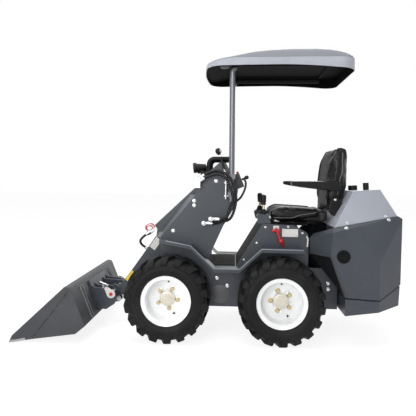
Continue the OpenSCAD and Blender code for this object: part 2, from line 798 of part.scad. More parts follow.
module bucket() {
    side_line = [[1323, 4], [1301, 48], [948, 379], [914, 377], [902, 358], [804, 123], [869, 69],
        [1170, 26], [1296, 6]];
    color("#5f5f64") {
        both() difference() {
            plate(side_line, bucket_half - 10, bucket_half);
            plate([[912, 354], [918, 358], [1168, 30], [1162, 26]], bucket_half - 3, bucket_half + 2);
        }
        plate(concat(shell_line, [[1171, 26 + bucket_t], [872, 69 + bucket_t], [804 + bucket_t + 3, 124],
            [902 + bucket_t, 358]]), -bucket_half + 10, bucket_half - 10);
        plate([[1100, 36], [1170, 26], [1310, 1], [1323, 1], [1315, 8], [1171, 42], [1100, 52]],
            -bucket_half, bucket_half);
        plate([[902, 358], [914, 377], [948, 379], [944, 371], [918, 369], [908, 354]], -bucket_half + 10,
            bucket_half - 10);
    }
}

chassis_tub();
tower_frames();
tower_cover_left();
tower_cover_right();
tower_bulkhead();
boom_pin();
mudguards();
floor_mat();
wheel_motors();
seat_box_sides();
seat_box_front();
consoles();
joysticks();
seat_base();
seat_cushion();
seat_back();
armrests();
engine_block();
rear_side_left();
rear_side_right();
rear_panel();
hood();
counterweight();
filler_caps();
canopy_frame();
canopy_roof();
canopy_lining();
grab_bar();
work_lamps();
tower_hoses();
hose_fittings();
tyre_front_left();
tyre_front_right();
tyre_rear_left();
tyre_rear_right();
rim_front_left();
rim_front_right();
rim_rear_left();
rim_rear_right();
boom();
boom_couplers();
boom_hose();
lift_barrel();
lift_rod();
tilt_barrel();
tilt_rod();
hitch();
hitch_pins();
bucket();
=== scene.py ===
"""Looks of the compact yard loader: finishes, seat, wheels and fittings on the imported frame."""
import logging
import math
from dataclasses import dataclass, field
from enum import Enum
from typing import Callable, Optional, Sequence, Union

import bmesh
import bpy
from mathutils import Matrix, Vector
from mathutils.bvhtree import BVHTree


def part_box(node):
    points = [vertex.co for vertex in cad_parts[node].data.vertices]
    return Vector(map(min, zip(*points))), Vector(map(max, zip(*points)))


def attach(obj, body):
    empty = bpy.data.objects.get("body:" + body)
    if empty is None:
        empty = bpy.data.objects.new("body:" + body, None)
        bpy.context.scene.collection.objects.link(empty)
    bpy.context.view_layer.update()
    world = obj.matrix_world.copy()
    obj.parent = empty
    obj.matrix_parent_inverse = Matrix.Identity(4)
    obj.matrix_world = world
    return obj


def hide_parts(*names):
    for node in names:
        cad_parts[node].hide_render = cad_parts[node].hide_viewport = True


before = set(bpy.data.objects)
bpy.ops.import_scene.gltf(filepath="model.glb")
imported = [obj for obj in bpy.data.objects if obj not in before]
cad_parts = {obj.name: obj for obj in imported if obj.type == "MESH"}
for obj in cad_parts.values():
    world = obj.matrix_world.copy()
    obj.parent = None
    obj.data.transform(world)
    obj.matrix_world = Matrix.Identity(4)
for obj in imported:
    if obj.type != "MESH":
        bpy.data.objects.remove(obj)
log = logging.getLogger("loader")

Colour = tuple[float, float, float]
Point = tuple[float, float, float]
Flat = tuple[float, float]
Line = tuple[Flat, ...]
Route = tuple[Point, ...]
Mesh = bmesh.types.BMesh
Thing = bpy.types.Object
Tree = bpy.types.GeometryNodeTree


class Side(Enum):
    """Side of the machine, with its sign along +Y."""

    LEFT = 1
    RIGHT = -1


class Sock:
    """A shader socket on which + - and * add Math nodes."""

    def __init__(self, kit: "NodeKit", socket: bpy.types.NodeSocket) -> None:
        self.kit = kit
        self.socket = socket

    def _math(self, operation: str, first: "Value", second: "Value") -> "Sock":
        """Adds one Math node.

        Args:
            operation: The Math node's operation.
            first: Its first value.
            second: Its second value.

        Returns:
            The node's result.
        """
        return self.kit.node("ShaderNodeMath", {"operation": operation}, {0: first, 1: second})

    def __add__(self, other: "Value") -> "Sock":
        """Sum."""
        return self._math("ADD", self, other)

    def __radd__(self, other: "Value") -> "Sock":
        """Sum with a number on the left."""
        return self._math("ADD", other, self)

    def __sub__(self, other: "Value") -> "Sock":
        """Difference."""
        return self._math("SUBTRACT", self, other)

    def __rsub__(self, other: "Value") -> "Sock":
        """Difference with a number on the left."""
        return self._math("SUBTRACT", other, self)

    def __mul__(self, other: "Value") -> "Sock":
        """Product."""
        return self._math("MULTIPLY", self, other)

    def __rmul__(self, other: "Value") -> "Sock":
        """Product with a number on the left."""
        return self._math("MULTIPLY", other, self)

    def clamp(self) -> "Sock":
        """This value kept from 0 to 1."""
        return self.kit.node("ShaderNodeClamp", {}, {"Value": self})


Value = Union[Sock, float, Colour, tuple]


class NodeKit:
    """A node material under construction."""

    def __init__(self, name: str) -> None:
        """Starts an empty material with a Principled shader.

        Args:
            name: The material's name.
        """
        self.material = bpy.data.materials.new(name)
        self.material.use_nodes = True
        self.tree = self.material.node_tree
        self.shader = self.tree.nodes["Principled BSDF"]

    def node(self, kind: str, settings: dict, inputs: dict, output: Union[int, str] = 0) -> Sock:
        """Adds a node, sets it up and links it.

        Args:
            kind: The node's type name.
            settings: Its properties; "stops" gives a ramp's (place, colour) pairs.
            inputs: Socket name or index to a value or a Sock.
            output: The output to return.

        Returns:
            The chosen output as a Sock.
        """
        made = self.tree.nodes.new(kind)
        for key, value in settings.items():
            if key == "stops":
                ramp = made.color_ramp.elements
                while len(ramp) < len(value):
                    ramp.new(0.5)
                for element, (place, shade) in zip(ramp, value):
                    element.position = place
                    element.color = (shade, shade, shade, 1.0) if isinstance(shade, float) else (*shade, 1.0)
            else:
                setattr(made, key, value)
        for key, value in inputs.items():
            self.feed(made.inputs[key], value)
        return Sock(self, made.outputs[output])

    def feed(self, socket: bpy.types.NodeSocket, value: Value) -> None:
        """Links a Sock to a socket, or sets a constant on it."""
        if isinstance(value, Sock):
            self.tree.links.new(value.socket, socket)
        elif isinstance(value, tuple) and socket.type == "RGBA":
            socket.default_value = (*value, 1.0)
        else:
            socket.default_value = value

    def set(self, **inputs: Value) -> None:
        """Feeds the shader's own sockets, with _ for a space in their names."""
        for key, value in inputs.items():
            self.feed(self.shader.inputs[key.replace("_", " ")], value)

    def place(self) -> Sock:
        """Object coordinates."""
        return self.node("ShaderNodeTexCoord", {}, {}, "Object")

    def noise(self, scale: float, detail: float = 3.0, rough: float = 0.55,
              at: Optional[Sock] = None) -> Sock:
        """Noise from about 0 to 1 on Object coordinates.

        Args:
            scale: Bumps for each metre.
            detail: Octaves.
            rough: Strength of the fine octaves.
            at: Coordinates other than Object coordinates.

        Returns:
            The noise value.
        """
        inputs = {"Vector": at or self.place(), "Scale": scale, "Detail": detail, "Roughness": rough}
        return self.node("ShaderNodeTexNoise", {}, inputs, "Fac")

    def ramp(self, value: Value, *stops: tuple) -> Sock:
        """A colour ramp through (place, colour) stops."""
        return self.node("ShaderNodeValToRGB", {"stops": stops}, {"Fac": value}, "Color")

    def step(self, value: Value, low: float, high: float) -> Sock:
        """0 below low, 1 above high, smooth between."""
        return self.node("ShaderNodeMapRange", {"interpolation_type": "SMOOTHSTEP"},
                         {"Value": value, "From Min": low, "From Max": high}, "Result")

    def mix(self, amount: Value, first: Value, second: Value) -> Sock:
        """Mixes two colours.

        Args:
            amount: 0 for the first colour, 1 for the second.
            first: The first colour.
            second: The second colour.

        Returns:
            The mixed colour.
        """
        made = self.tree.nodes.new("ShaderNodeMix")
        made.data_type = "RGBA"
        for key, value in zip((0, 6, 7), (amount, first, second)):
            self.feed(made.inputs[key], value)
        return Sock(self, made.outputs[2])

    def height(self) -> Sock:
        """Height above the ground in metres."""
        return self.node("ShaderNodeSeparateXYZ", {}, {0: self.place()}, "Z")

    def facing_up(self) -> Sock:
        """1 on level faces, 0 on upright ones and on those that face down."""
        normal = self.node("ShaderNodeNewGeometry", {}, {}, "Normal")
        return self.node("ShaderNodeSeparateXYZ", {}, {0: normal}, "Z")

    def bump(self, height: Value, strength: float, distance: float) -> Sock:
        """A normal bent by a height pattern.

        Args:
            height: The pattern.
            strength: From 0 to 1.
            distance: Metres for a height of 1.

        Returns:
            The normal.
        """
        return self.node("ShaderNodeBump", {},
                         {"Height": height, "Strength": strength, "Distance": distance}, "Normal")


def shade(colour: Colour, factor: float, lift: float = 0.0) -> Colour:
    """A colour made darker or paler."""
    return tuple(min(1.0, factor * c + lift) for c in colour)


class Finish:
    """A finish that makes its material once."""

    name: str
    _made: dict[str, bpy.types.Material] = {}

    def build(self, kit: NodeKit) -> None:
        """Fills the material's nodes."""
        raise NotImplementedError

    def material(self) -> bpy.types.Material:
        """The material, made at the first call."""
        if self.name not in Finish._made:
            kit = NodeKit(self.name)
            self.build(kit)
            Finish._made[self.name] = kit.material
        return Finish._made[self.name]


@dataclass(frozen=True)
class Paint(Finish):
    """Sprayed paint with fine orange peel, slight clouding and dust low down."""

    name: str
    colour: Colour
    rough: float = 0.42
    dust: float = 0.35
    coat: float = 0.0

    def build(self, kit: NodeKit) -> None:
        """Clouded colour, dust below hub height, scuffs in the roughness."""
        cloud = kit.noise(2.3, 2.0)
        grain = kit.noise(38.0, 4.0)
        base = kit.ramp(cloud, (0.3, shade(self.colour, 0.86)), (0.7, shade(self.colour, 1.12, 0.004)))
        low = kit.step(kit.height(), 0.75, 0.15)
        settle = (kit.step(kit.facing_up(), 0.5, 1.0) * 0.5 + low) * kit.step(grain, 0.42, 0.68) * self.dust
        base = kit.mix(settle.clamp(), base, (0.17, 0.165, 0.16))
        kit.set(Base_Color=base, Roughness=(self.rough + (grain - 0.5) * 0.16 + settle * 0.25).clamp(),
                Normal=kit.bump(kit.noise(420.0, 2.0), 0.12, 0.0006))
        kit.set(Coat_Weight=self.coat, Coat_Roughness=0.12)


@dataclass(frozen=True)
class WornSteel(Finish):
    """Paint that is rubbed to bare steel towards the bucket's lip."""

    name: str
    colour: Colour
    rough: float = 0.5

    def build(self, kit: NodeKit) -> None:
        """Scratches along the machine, bare steel near the ground."""
        stretch = kit.node("ShaderNodeMapping", {}, {"Vector": kit.place(), "Scale": (3.0, 60.0, 3.0)},
                           "Vector")
        streak = kit.noise(6.0, 5.0, 0.65, stretch)
        cloud = kit.noise(4.0, 4.0)
        low = kit.step(kit.height(), 0.026, 0.016)
        bare = (low * 0.5 + kit.step(streak, 0.62, 0.78) * kit.step(cloud, 0.45, 0.7) * 0.55).clamp()
        rust = kit.step(kit.noise(55.0, 5.0, 0.7), 0.56, 0.74) * 0.35
        paint = kit.mix(kit.step(cloud, 0.35, 0.7), shade(self.colour, 0.82), shade(self.colour, 1.15))
        paint = kit.mix(rust, paint, (0.075, 0.062, 0.055))
        kit.set(Base_Color=kit.mix(bare, paint, (0.34, 0.335, 0.33)), Metallic=(bare * 0.85).clamp(),
                Roughness=(self.rough - bare * 0.14 + (streak - 0.5) * 0.2).clamp(),
                Normal=kit.bump(streak * 0.5 + kit.noise(160.0, 3.0) * 0.5, 0.25, 0.0009))


@dataclass(frozen=True)
class Metal(Finish):
    """Turned, plated or cast metal."""

    name: str
    colour: Colour
    rough: float = 0.3
    grain: float = 240.0
    metallic: float = 1.0

    def build(self, kit: NodeKit) -> None:
        """Even metal with a fine uneven polish."""
        fine = kit.noise(self.grain, 4.0)
        stain = kit.step(kit.noise(26.0, 4.0), 0.5, 0.75)
        kit.set(Base_Color=kit.mix(stain * 0.35, self.colour, shade(self.colour, 0.6)),
                Roughness=(self.rough + (fine - 0.5) * 0.22 + stain * 0.08).clamp(),
                Normal=kit.bump(fine, 0.15, 0.0005))
        kit.set(Metallic=self.metallic)


@dataclass(frozen=True)
class Post(Finish):
    """Plated tube that turns black where it runs under the canopy, as painted shade."""

    name: str
    colour: Colour
    # height of the roof's rim, above which the tube is black as painted shade
    roof: float = 1.90

    def build(self, kit: NodeKit) -> None:
        """Bright below the roof's rim, black above it as painted shade."""
        # painted shade: black above the roof's rim, where the canopy shades the tube
        under = kit.step(kit.height(), self.roof - 0.02, self.roof)
        kit.set(Base_Color=kit.mix(under, self.colour, (0.004, 0.004, 0.0045)), Metallic=0.75 - under * 0.75,
                Roughness=(0.32 + under * 0.4 + (kit.noise(120.0, 4.0) - 0.5) * 0.2).clamp())
        kit.set(Specular_IOR_Level=0.2)


@dataclass(frozen=True)
class Rubber(Finish):
    """Black rubber with pale dust in its pores and on its worn faces."""

    name: str
    colour: Colour = (0.016, 0.016, 0.017)
    dust: float = 0.4
    rough: float = 0.72
    shine: float = 0.2

    def build(self, kit: NodeKit) -> None:
        """Dusty black with fine moulded grain."""
        cloud = kit.noise(7.0, 5.0, 0.62)
        pores = kit.noise(190.0, 3.0)
        dust = (kit.step(cloud, 0.44, 0.72) * self.dust * (0.5 + pores)).clamp()
        kit.set(Specular_IOR_Level=self.shine)
        kit.set(Base_Color=kit.mix(dust, self.colour, (0.075, 0.071, 0.065)),
                Roughness=(self.rough + (pores - 0.5) * 0.2 + dust * 0.15).clamp(),
                Normal=kit.bump(pores * 0.6 + cloud * 0.4, 0.22, 0.001))


@dataclass(frozen=True)
class Plastic(Finish):
    """Moulded plastic with a fine spark-eroded grain."""

    name: str
    colour: Colour
    rough: float = 0.5
    grain: float = 0.25
    shine: float = 0.5

    def build(self, kit: NodeKit) -> None:
        """Grained and slightly faded."""
        kit.set(Specular_IOR_Level=self.shine)
        cells = kit.node("ShaderNodeTexVoronoi", {"feature": "F1"}, {"Vector": kit.place(), "Scale": 650.0},
                         "Distance")
        fade = kit.noise(3.0, 3.0)
        kit.set(Base_Color=kit.ramp(fade, (0.3, shade(self.colour, 0.88)),
                                    (0.75, shade(self.colour, 1.1, 0.003))),
                Roughness=(self.rough + (kit.noise(44.0, 3.0) - 0.5) * 0.16).clamp(),
                Normal=kit.bump(cells, self.grain, 0.0006))


@dataclass(frozen=True)
class Vinyl(Finish):
    """Black seat vinyl with a leather grain."""

    name: str
    colour: Colour = (0.0055, 0.0055, 0.006)
    panel: float = 0.0

    def build(self, kit: NodeKit) -> None:
        """Pebbled grain, shiny on its crests, with a duller woven panel in the middle."""
        cells = kit.node("ShaderNodeTexVoronoi", {"feature": "DISTANCE_TO_EDGE"},
                         {"Vector": kit.place(), "Scale": 380.0}, "Distance")
        pebble = kit.step(cells, 0.0, 0.22)
        wear = kit.noise(9.0, 4.0)
        skin = kit.mix(kit.step(wear, 0.5, 0.8) * 0.5, self.colour, (0.012, 0.0118, 0.0115))
        kit.set(Specular_IOR_Level=0.24)
        across = kit.node("ShaderNodeSeparateXYZ", {}, {0: kit.place()}, "Y")
        away = kit.node("ShaderNodeMath", {"operation": "ABSOLUTE"}, {0: across}, "Value")
        middle = kit.step(away, self.panel + 0.004, self.panel) if self.panel else kit.step(away, -1.0, -2.0)
        kit.set(Base_Color=kit.mix(middle, skin, (0.0035, 0.0035, 0.004)),
                Roughness=(0.32 - pebble * 0.1 + (wear - 0.5) * 0.12 + middle * 0.3).clamp(),
                Normal=kit.bump(pebble + kit.noise(120.0, 3.0) * 0.4, 0.25, 0.0005))


@dataclass(frozen=True)
class RoofShell(Finish):
    """Moulded canopy coloured by slope: a pale band round its side as painted light and a grey crown as
    painted shade.
    """

    name: str
    # colours of the upward crown and the upright band, set apart by slope as painted shade and painted light
    crown: Colour
    band: Colour

    def build(self, kit: NodeKit) -> None:
        """Colour by slope, with painted light on the band and painted shade on the crown, a little faded."""
        # painted light and shade: upright faces take the pale band colour, upward faces the grey crown colour
        outside = kit.mix(kit.step(kit.facing_up(), 0.10, 0.26), self.band, self.crown)
        fade = kit.noise(3.0, 3.0)
        outside = kit.mix(kit.step(fade, 0.45, 0.75) * 0.25, outside, shade(self.crown, 0.8))
        kit.set(Base_Color=outside,
                Roughness=(0.36 + (kit.noise(30.0, 3.0) - 0.5) * 0.12).clamp(),
                Normal=kit.bump(kit.noise(260.0, 2.0), 0.1, 0.0006))


@dataclass(frozen=True)
class Lens(Finish):
    """Clear moulded lamp glass whose pale colour is a painted reflection of the bright reflector behind it.
    """

    name: str = "lamp_lens"

    def build(self, kit: NodeKit) -> None:
        """Fluted pale lens; the pale colour and its flute bands are painted reflection."""
        flutes = kit.node("ShaderNodeTexWave", {"wave_type": "BANDS", "bands_direction": "Y"},
                          {"Vector": kit.place(), "Scale": 55.0, "Distortion": 0.0}, "Fac")
        # painted reflection: pale bands stand for the bright reflector seen through the flutes
        kit.set(Base_Color=kit.ramp(flutes, (0.2, (0.62, 0.64, 0.66)), (0.8, (0.86, 0.87, 0.88))),
                Roughness=0.09,
                Normal=kit.bump(flutes, 0.5, 0.0012))
        kit.set(Coat_Weight=0.8, Coat_Roughness=0.04)


class Finishes:
    """The loader's finishes."""

    BODY = Paint("body_grey", (0.036, 0.043, 0.056), 0.36, 0.06)
    HOOD = Paint("hood_grey", (0.35, 0.37, 0.42), 0.4, 0.06)
    BUCKET = WornSteel("bucket_grey", (0.042, 0.044, 0.050))
    EDGE = Metal("worn_edge", (0.36, 0.36, 0.37), 0.42, 90.0, 0.8)
    POST = Post("post_steel", (0.16, 0.165, 0.18))
    # pale grey of the mudguards' rolled edges, a painted highlight
    BEAD_HIGHLIGHT = Paint("bead_grey", (0.24, 0.26, 0.29), 0.3, 0.05)
    MARK = Paint("disc_grey", (0.105, 0.107, 0.113), 0.5, 0.1)
    BLACK = Paint("satin_black", (0.014, 0.0145, 0.016), 0.36, 0.25)
    WHITE = Paint("rim_white", (0.88, 0.89, 0.90), 0.3, 0.04, 0.3)
    # canopy colours by slope: grey crown as painted shade, pale band as painted light
    ROOF = RoofShell("roof_grey", (0.14, 0.15, 0.175), (0.42, 0.44, 0.49))
    # near-black lining under the roof: partly its own black, partly painted shade
    ROOF_UNDER = Plastic("roof_lining", (0.003, 0.003, 0.0035), 0.7, 0.15, 0.04)
    PLASTIC = Plastic("black_plastic", (0.008, 0.008, 0.009), 0.42, 0.25, 0.2)
    DARK = Plastic("dark_plate", (0.009, 0.0095, 0.011), 0.6, 0.1, 0.04)
    RED = Plastic("signal_red", (0.55, 0.012, 0.014), 0.35, 0.1)
    IVORY = Plastic("ivory_plastic", (0.72, 0.71, 0.68), 0.35, 0.1)
    YELLOW = Plastic("yellow_plate", (0.84, 0.60, 0.012), 0.4, 0.05)
    VINYL = Vinyl("seat_vinyl", panel=0.166)
    PIPING = Plastic("seat_piping", (0.10, 0.10, 0.105), 0.4, 0.1)
    MAT = Rubber("mat_rubber", (0.02, 0.02, 0.021), 0.5, 0.8)
    HOSE = Rubber("hose_rubber", (0.006, 0.006, 0.007), 0.06, 0.34, 0.3)
    TYRE = Rubber("tyre_rubber", (0.0085, 0.0085, 0.009), 0.13, 0.55, 0.16)
    CAST = Metal("cast_grey", (0.10, 0.104, 0.11), 0.6, 120.0, 0.4)
    STEEL = Metal("turned_steel", (0.52, 0.53, 0.55), 0.28)
    ZINC = Metal("zinc_plate", (0.62, 0.63, 0.64), 0.26)
    BRASS = Metal("passivated_zinc", (0.56, 0.47, 0.27), 0.3)
    HUB = Metal("hub_steel", (0.66, 0.62, 0.53), 0.45, 200.0, 0.45)
    CHROME = Metal("hard_chrome", (0.72, 0.73, 0.75), 0.08, 60.0)
    LENS = Lens()


class Shapes:
    """Mesh makers in metres; each gives a bmesh with its place in its vertices."""

    @staticmethod
    def loft(rings: Sequence[Sequence[Point]], wrap: bool = True, caps: bool = True,
             loop: bool = False) -> Mesh:
        """Skins a row of rings with equal counts of points.

        Args:
            rings: The rings, in order.
            wrap: Whether each ring closes on itself.
            caps: Whether the end rings are filled.
            loop: Whether the last ring joins the first.

        Returns:
            The skin.
        """
        mesh = bmesh.new()
        rows = [[mesh.verts.new(p) for p in ring] for ring in rings]
        count = len(rows[0])
        pairs = list(zip(rows, rows[1:])) + ([(rows[-1], rows[0])] if loop else [])
        for low, high in pairs:
            for i in range(count if wrap else count - 1):
                j = (i + 1) % count
                mesh.faces.new((low[i], low[j], high[j], high[i]))
        if caps and wrap and not loop:
            mesh.faces.new(rows[0][::-1])
            mesh.faces.new(rows[-1])
        bmesh.ops.recalc_face_normals(mesh, faces=mesh.faces)
        return mesh

    @staticmethod
    def circle(radius: float, height: float, count: int) -> list[Point]:
        """Points of a level circle about the Z axis."""
        turns = [2 * math.pi * k / count for k in range(count)]
        return [(radius * math.cos(t), radius * math.sin(t), height) for t in turns]

    @staticmethod
    def lathe(profile: Sequence[Flat], steps: int = 64, ring: bool = False) -> Mesh:
        """Turns a profile of (radius, height) about the Y axis.

        Args:
            profile: Points from one end to the other.
            steps: Faces round the axis.
            ring: Whether the profile is a closed loop, as a tyre's is.

        Returns:
            The turned form.
        """
        rings = []
        for i in range(steps):
            turn = 2 * math.pi * i / steps
            rings.append([(r * math.cos(turn), y, r * math.sin(turn)) for r, y in profile])
        mesh = Shapes.loft(rings, wrap=ring, caps=False, loop=True)
        bmesh.ops.remove_doubles(mesh, verts=mesh.verts, dist=1e-6)
        bmesh.ops.dissolve_degenerate(mesh, dist=1e-7, edges=mesh.edges)
        bmesh.ops.recalc_face_normals(mesh, faces=mesh.faces)
        return mesh

    @staticmethod
    def prism(outline: Sequence[Flat], low: float, high: float) -> Mesh:
        """Extrudes an XZ outline along Y.

        Args:
            outline: Corners in X and Z.
            low: The lower Y.
            high: The higher Y.

        Returns:
            The prism.
        """
        return Shapes.loft([[(x, y, z) for x, z in outline] for y in (low, high)])

    @staticmethod
    def box(low: Point, high: Point) -> Mesh:
        """A box by its corners."""
        (x, y, z), (far, wide, top) = low, high
        return Shapes.prism([(x, z), (far, z), (far, top), (x, top)], y, wide)

    @staticmethod
    def smooth_path(points: Sequence[Point], steps: int) -> list[Vector]:
        """Points on a smooth curve through points.

        Args:
            points: The points that it passes.
            steps: Spans between one point and the next.

        Returns:
            The points along the curve.
        """
        p = [Vector(q) for q in points]
        out = []
        for i in range(len(p) - 1):
            a, b, c, d = p[max(i - 1, 0)], p[i], p[i + 1], p[min(i + 2, len(p) - 1)]
            for k in range(steps):
                u = k / steps
                bend = (2 * a - 5 * b + 4 * c - d) * u * u + (3 * b - a - 3 * c + d) * u ** 3
                out.append(0.5 * (2 * b + (c - a) * u + bend))
        return out + [p[-1]]

    @staticmethod
    def tube(path: Sequence[Point], radius: Union[float, Callable[[float], float]], sides: int = 16) -> Mesh:
        """Sweeps a circle along a path.

        Args:
            path: The points along it.
            radius: The radius, or a function of the place along the path from 0 to 1.
            sides: Faces round it.

        Returns:
            The tube, with flat ends.
        """
        p = [Vector(q) for q in path]
        size = radius if callable(radius) else (lambda _: radius)
        first = (p[1] - p[0]).normalized()
        side = first.orthogonal().normalized()
        rings = []
        for i, at in enumerate(p):
            ahead = (p[min(i + 1, len(p) - 1)] - p[max(i - 1, 0)]).normalized()
            side = (side - ahead * side.dot(ahead)).normalized()
            other = ahead.cross(side)
            r = size(i / (len(p) - 1))
            turns = [2 * math.pi * k / sides for k in range(sides)]
            rings.append([at + r * (math.cos(t) * side + math.sin(t) * other) for t in turns])
        return Shapes.loft(rings)

    @staticmethod
    def turned(start: Point, end: Point, profile: Sequence[Flat], sides: int = 24) -> Mesh:
        """A turned piece along a line.

        Args:
            start: Where the line starts.
            end: Where it points to.
            profile: (radius, distance along the line) pairs in metres.
            sides: Faces round it.

        Returns:
            The turned piece, closed at its ends.
        """
        mesh = Shapes.lathe([(0.0, profile[0][1]), *profile, (0.0, profile[-1][1])], sides)
        axis = (Vector(end) - Vector(start)).normalized()
        turn = Vector((0, 1, 0)).rotation_difference(axis).to_matrix().to_4x4()
        bmesh.ops.transform(mesh, matrix=Matrix.Translation(start) @ turn, verts=mesh.verts)
        return mesh

    @staticmethod
    def moved(mesh: Mesh, matrix: Matrix) -> Mesh:
        """The mesh after a move, with its faces pointing out."""
        bmesh.ops.transform(mesh, matrix=matrix, verts=mesh.verts)
        if matrix.determinant() < 0:
            bmesh.ops.reverse_faces(mesh, faces=mesh.faces)
        return mesh

    @staticmethod
    def joined(*parts: Mesh) -> Mesh:
        """One bmesh out of several."""
        whole = bmesh.new()
        for part in parts:
            data = bpy.data.meshes.new("part")
            part.to_mesh(data)
            part.free()
            whole.from_mesh(data)
            bpy.data.meshes.remove(data)
        return whole

    @staticmethod
    def mirrored(mesh: Mesh) -> Mesh:
        """The mesh with its mirror image on the machine's other side."""
        twin = mesh.copy()
        return Shapes.joined(mesh, Shapes.moved(twin, Matrix.Scale(-1, 4, (0, 1, 0))))


class Bench:
    """Turns meshes into pieces that ride on bodies, and dresses the frame's own nodes."""

    # distance in metres at which loose corners merge, and degrees under which faces count as flat
    MERGE = 2e-5
    FLAT = 0.6

    def __init__(self) -> None:
        """Makes the two trees and starts to count the pieces."""
        self.count = 0
        self.smooth_tree = self._smooth_tree()
        self.ring_tree = self._copies_tree()

    @staticmethod
    def hose(thing: Thing, path: Sequence[Vector], diameter: float) -> None:
        """Takes a hose that fittings hold at both ends and does nothing with it.

        Args:
            thing: Its piece; not used.
            path: Points along its line; not used.
            diameter: Its thickness in metres; not used.
        """

    @staticmethod
    def shaded(mesh: Mesh, name: str, angle: float) -> bpy.types.Mesh:
        """Uses up a shape for mesh data that is smooth up to an edge angle in degrees."""
        data = bpy.data.meshes.new(name)
        for face in mesh.faces:
            face.smooth = True
        for edge in mesh.edges:
            edge.smooth = len(edge.link_faces) == 2 and edge.calc_face_angle(0.0) < math.radians(angle)
        mesh.to_mesh(data)
        mesh.free()
        return data

    def piece(self, name: str, mesh: Mesh, finish: Finish, body: str = "chassis", bevel: float = 0.0,
              replaces: Sequence[str] = (), slot: Optional[str] = None, angle: float = 35.0) -> Thing:
        """Makes a finished piece.

        Args:
            name: The piece's name.
            mesh: Its shape.
            finish: Its finish.
            body: The body that it rides on.
            bevel: Width of its rounded edges in metres.
            replaces: Nodes that it stands for.
            slot: Passed on to settle, which does not use it.
            angle: Edges sharper than this stay sharp, in degrees.

        Returns:
            The piece's object.
        """
        data = self.shaded(mesh, name, angle)
        thing = bpy.data.objects.new(name, data)
        bpy.context.scene.collection.objects.link(thing)
        data.materials.append(finish.material())
        if bevel:
            self.round_edges(thing, bevel)
        self.settle(thing, body, replaces, slot)
        return thing

    def settle(self, thing: Thing, body: str, replaces: Sequence[str] = (),
               slot: Optional[str] = None) -> None:
        """Rides a piece on a body and hides the nodes that it stands for.

        Args:
            thing: The piece.
            body: Its body.
            replaces: Nodes that it stands for.
            slot: Its material slot; not used.
        """
        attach(thing, body)
        if replaces:
            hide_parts(*replaces)
        self.count += 1
        log.info("piece %s on %s", thing.name, body)

    @staticmethod
    def round_edges(thing: Thing, width: float, angle: float = 32.0) -> None:
        """Adds a small rounding to a piece's sharp edges.

        Args:
            thing: The piece.
            width: The rounding's width in metres.
            angle: Only edges sharper than this, in degrees.
        """
        rounding = thing.modifiers.new("edges", "BEVEL")
        rounding.width = width
        rounding.segments = 2
        rounding.limit_method = "ANGLE"
        rounding.angle_limit = math.radians(angle)
        rounding.use_clamp_overlap = True
        rounding.harden_normals = True

    @staticmethod
    def _tree(name: str, *inputs: tuple[str, str]) -> tuple[Tree, bpy.types.Node, bpy.types.Node]:
        """Starts a geometry tree.

        Args:
            name: The tree's name.
            inputs: (name, socket type) of each input after the geometry.

        Returns:
            The tree, its input node and its output node.
        """
        tree = bpy.data.node_groups.new(name, "GeometryNodeTree")
        tree.interface.new_socket("Geometry", in_out="INPUT", socket_type="NodeSocketGeometry")
        tree.interface.new_socket("Geometry", in_out="OUTPUT", socket_type="NodeSocketGeometry")
        for label, kind in inputs:
            tree.interface.new_socket(label, in_out="INPUT", socket_type=kind)
        return tree, tree.nodes.new("NodeGroupInput"), tree.nodes.new("NodeGroupOutput")

    def _smooth_tree(self) -> Tree:
        """A tree that merges loose triangles and smooths their shallow edges."""
        tree, start, end = self._tree("merge_and_smooth", ("Distance", "NodeSocketFloat"),
                                      ("Angle", "NodeSocketFloat"))
        merge = tree.nodes.new("GeometryNodeMergeByDistance")
        angle = tree.nodes.new("GeometryNodeInputMeshEdgeAngle")
        test = tree.nodes.new("FunctionNodeCompare")
        test.operation = "LESS_THAN"
        faces = tree.nodes.new("GeometryNodeSetShadeSmooth")
        edges = tree.nodes.new("GeometryNodeSetShadeSmooth")
        edges.domain = "EDGE"
        join = tree.links.new
        join(start.outputs[0], merge.inputs["Geometry"])
        join(start.outputs["Distance"], merge.inputs["Distance"])
        join(merge.outputs[0], faces.inputs["Geometry"])
        join(faces.outputs[0], edges.inputs["Geometry"])
        join(angle.outputs["Unsigned Angle"], test.inputs[0])
        join(start.outputs["Angle"], test.inputs[1])
        join(test.outputs[0], edges.inputs["Shade Smooth"])
        join(edges.outputs[0], end.inputs[0])
        return tree

    def _copies_tree(self) -> Tree:
        """A tree that sets a pattern object at every point, turned by the point's "turn"."""
        tree, start, end = self._tree("copies_at_points", ("Pattern", "NodeSocketObject"),
                                      ("Finish", "NodeSocketMaterial"))
        pattern = tree.nodes.new("GeometryNodeObjectInfo")
        turn = tree.nodes.new("GeometryNodeInputNamedAttribute")
        turn.data_type = "FLOAT_VECTOR"
        turn.inputs["Name"].default_value = "turn"
        to_turn = tree.nodes.new("FunctionNodeEulerToRotation")
        copies = tree.nodes.new("GeometryNodeInstanceOnPoints")
        real = tree.nodes.new("GeometryNodeRealizeInstances")
        finish = tree.nodes.new("GeometryNodeSetMaterial")
        join = tree.links.new
        join(start.outputs[0], copies.inputs["Points"])
        join(start.outputs["Pattern"], pattern.inputs["Object"])
        join(pattern.outputs["Geometry"], copies.inputs["Instance"])
        join(turn.outputs["Attribute"], to_turn.inputs[0])
        join(to_turn.outputs[0], copies.inputs["Rotation"])
        join(copies.outputs[0], real.inputs[0])
        join(real.outputs[0], finish.inputs["Geometry"])
        join(start.outputs["Finish"], finish.inputs["Material"])
        join(finish.outputs[0], end.inputs[0])
        return tree

    @staticmethod
    def run_tree(thing: Thing, tree: Tree, **values: object) -> bpy.types.Modifier:
        """Adds a geometry tree to an object.

        Args:
            thing: The object.
            tree: The tree.
            values: Its inputs by name.

        Returns:
            The modifier.
        """
        modifier = thing.modifiers.new(tree.name, "NODES")
        modifier.node_group = tree
        for item in tree.interface.items_tree:
            if item.in_out == "INPUT" and item.name in values:
                modifier[item.identifier] = values[item.name]
        return modifier

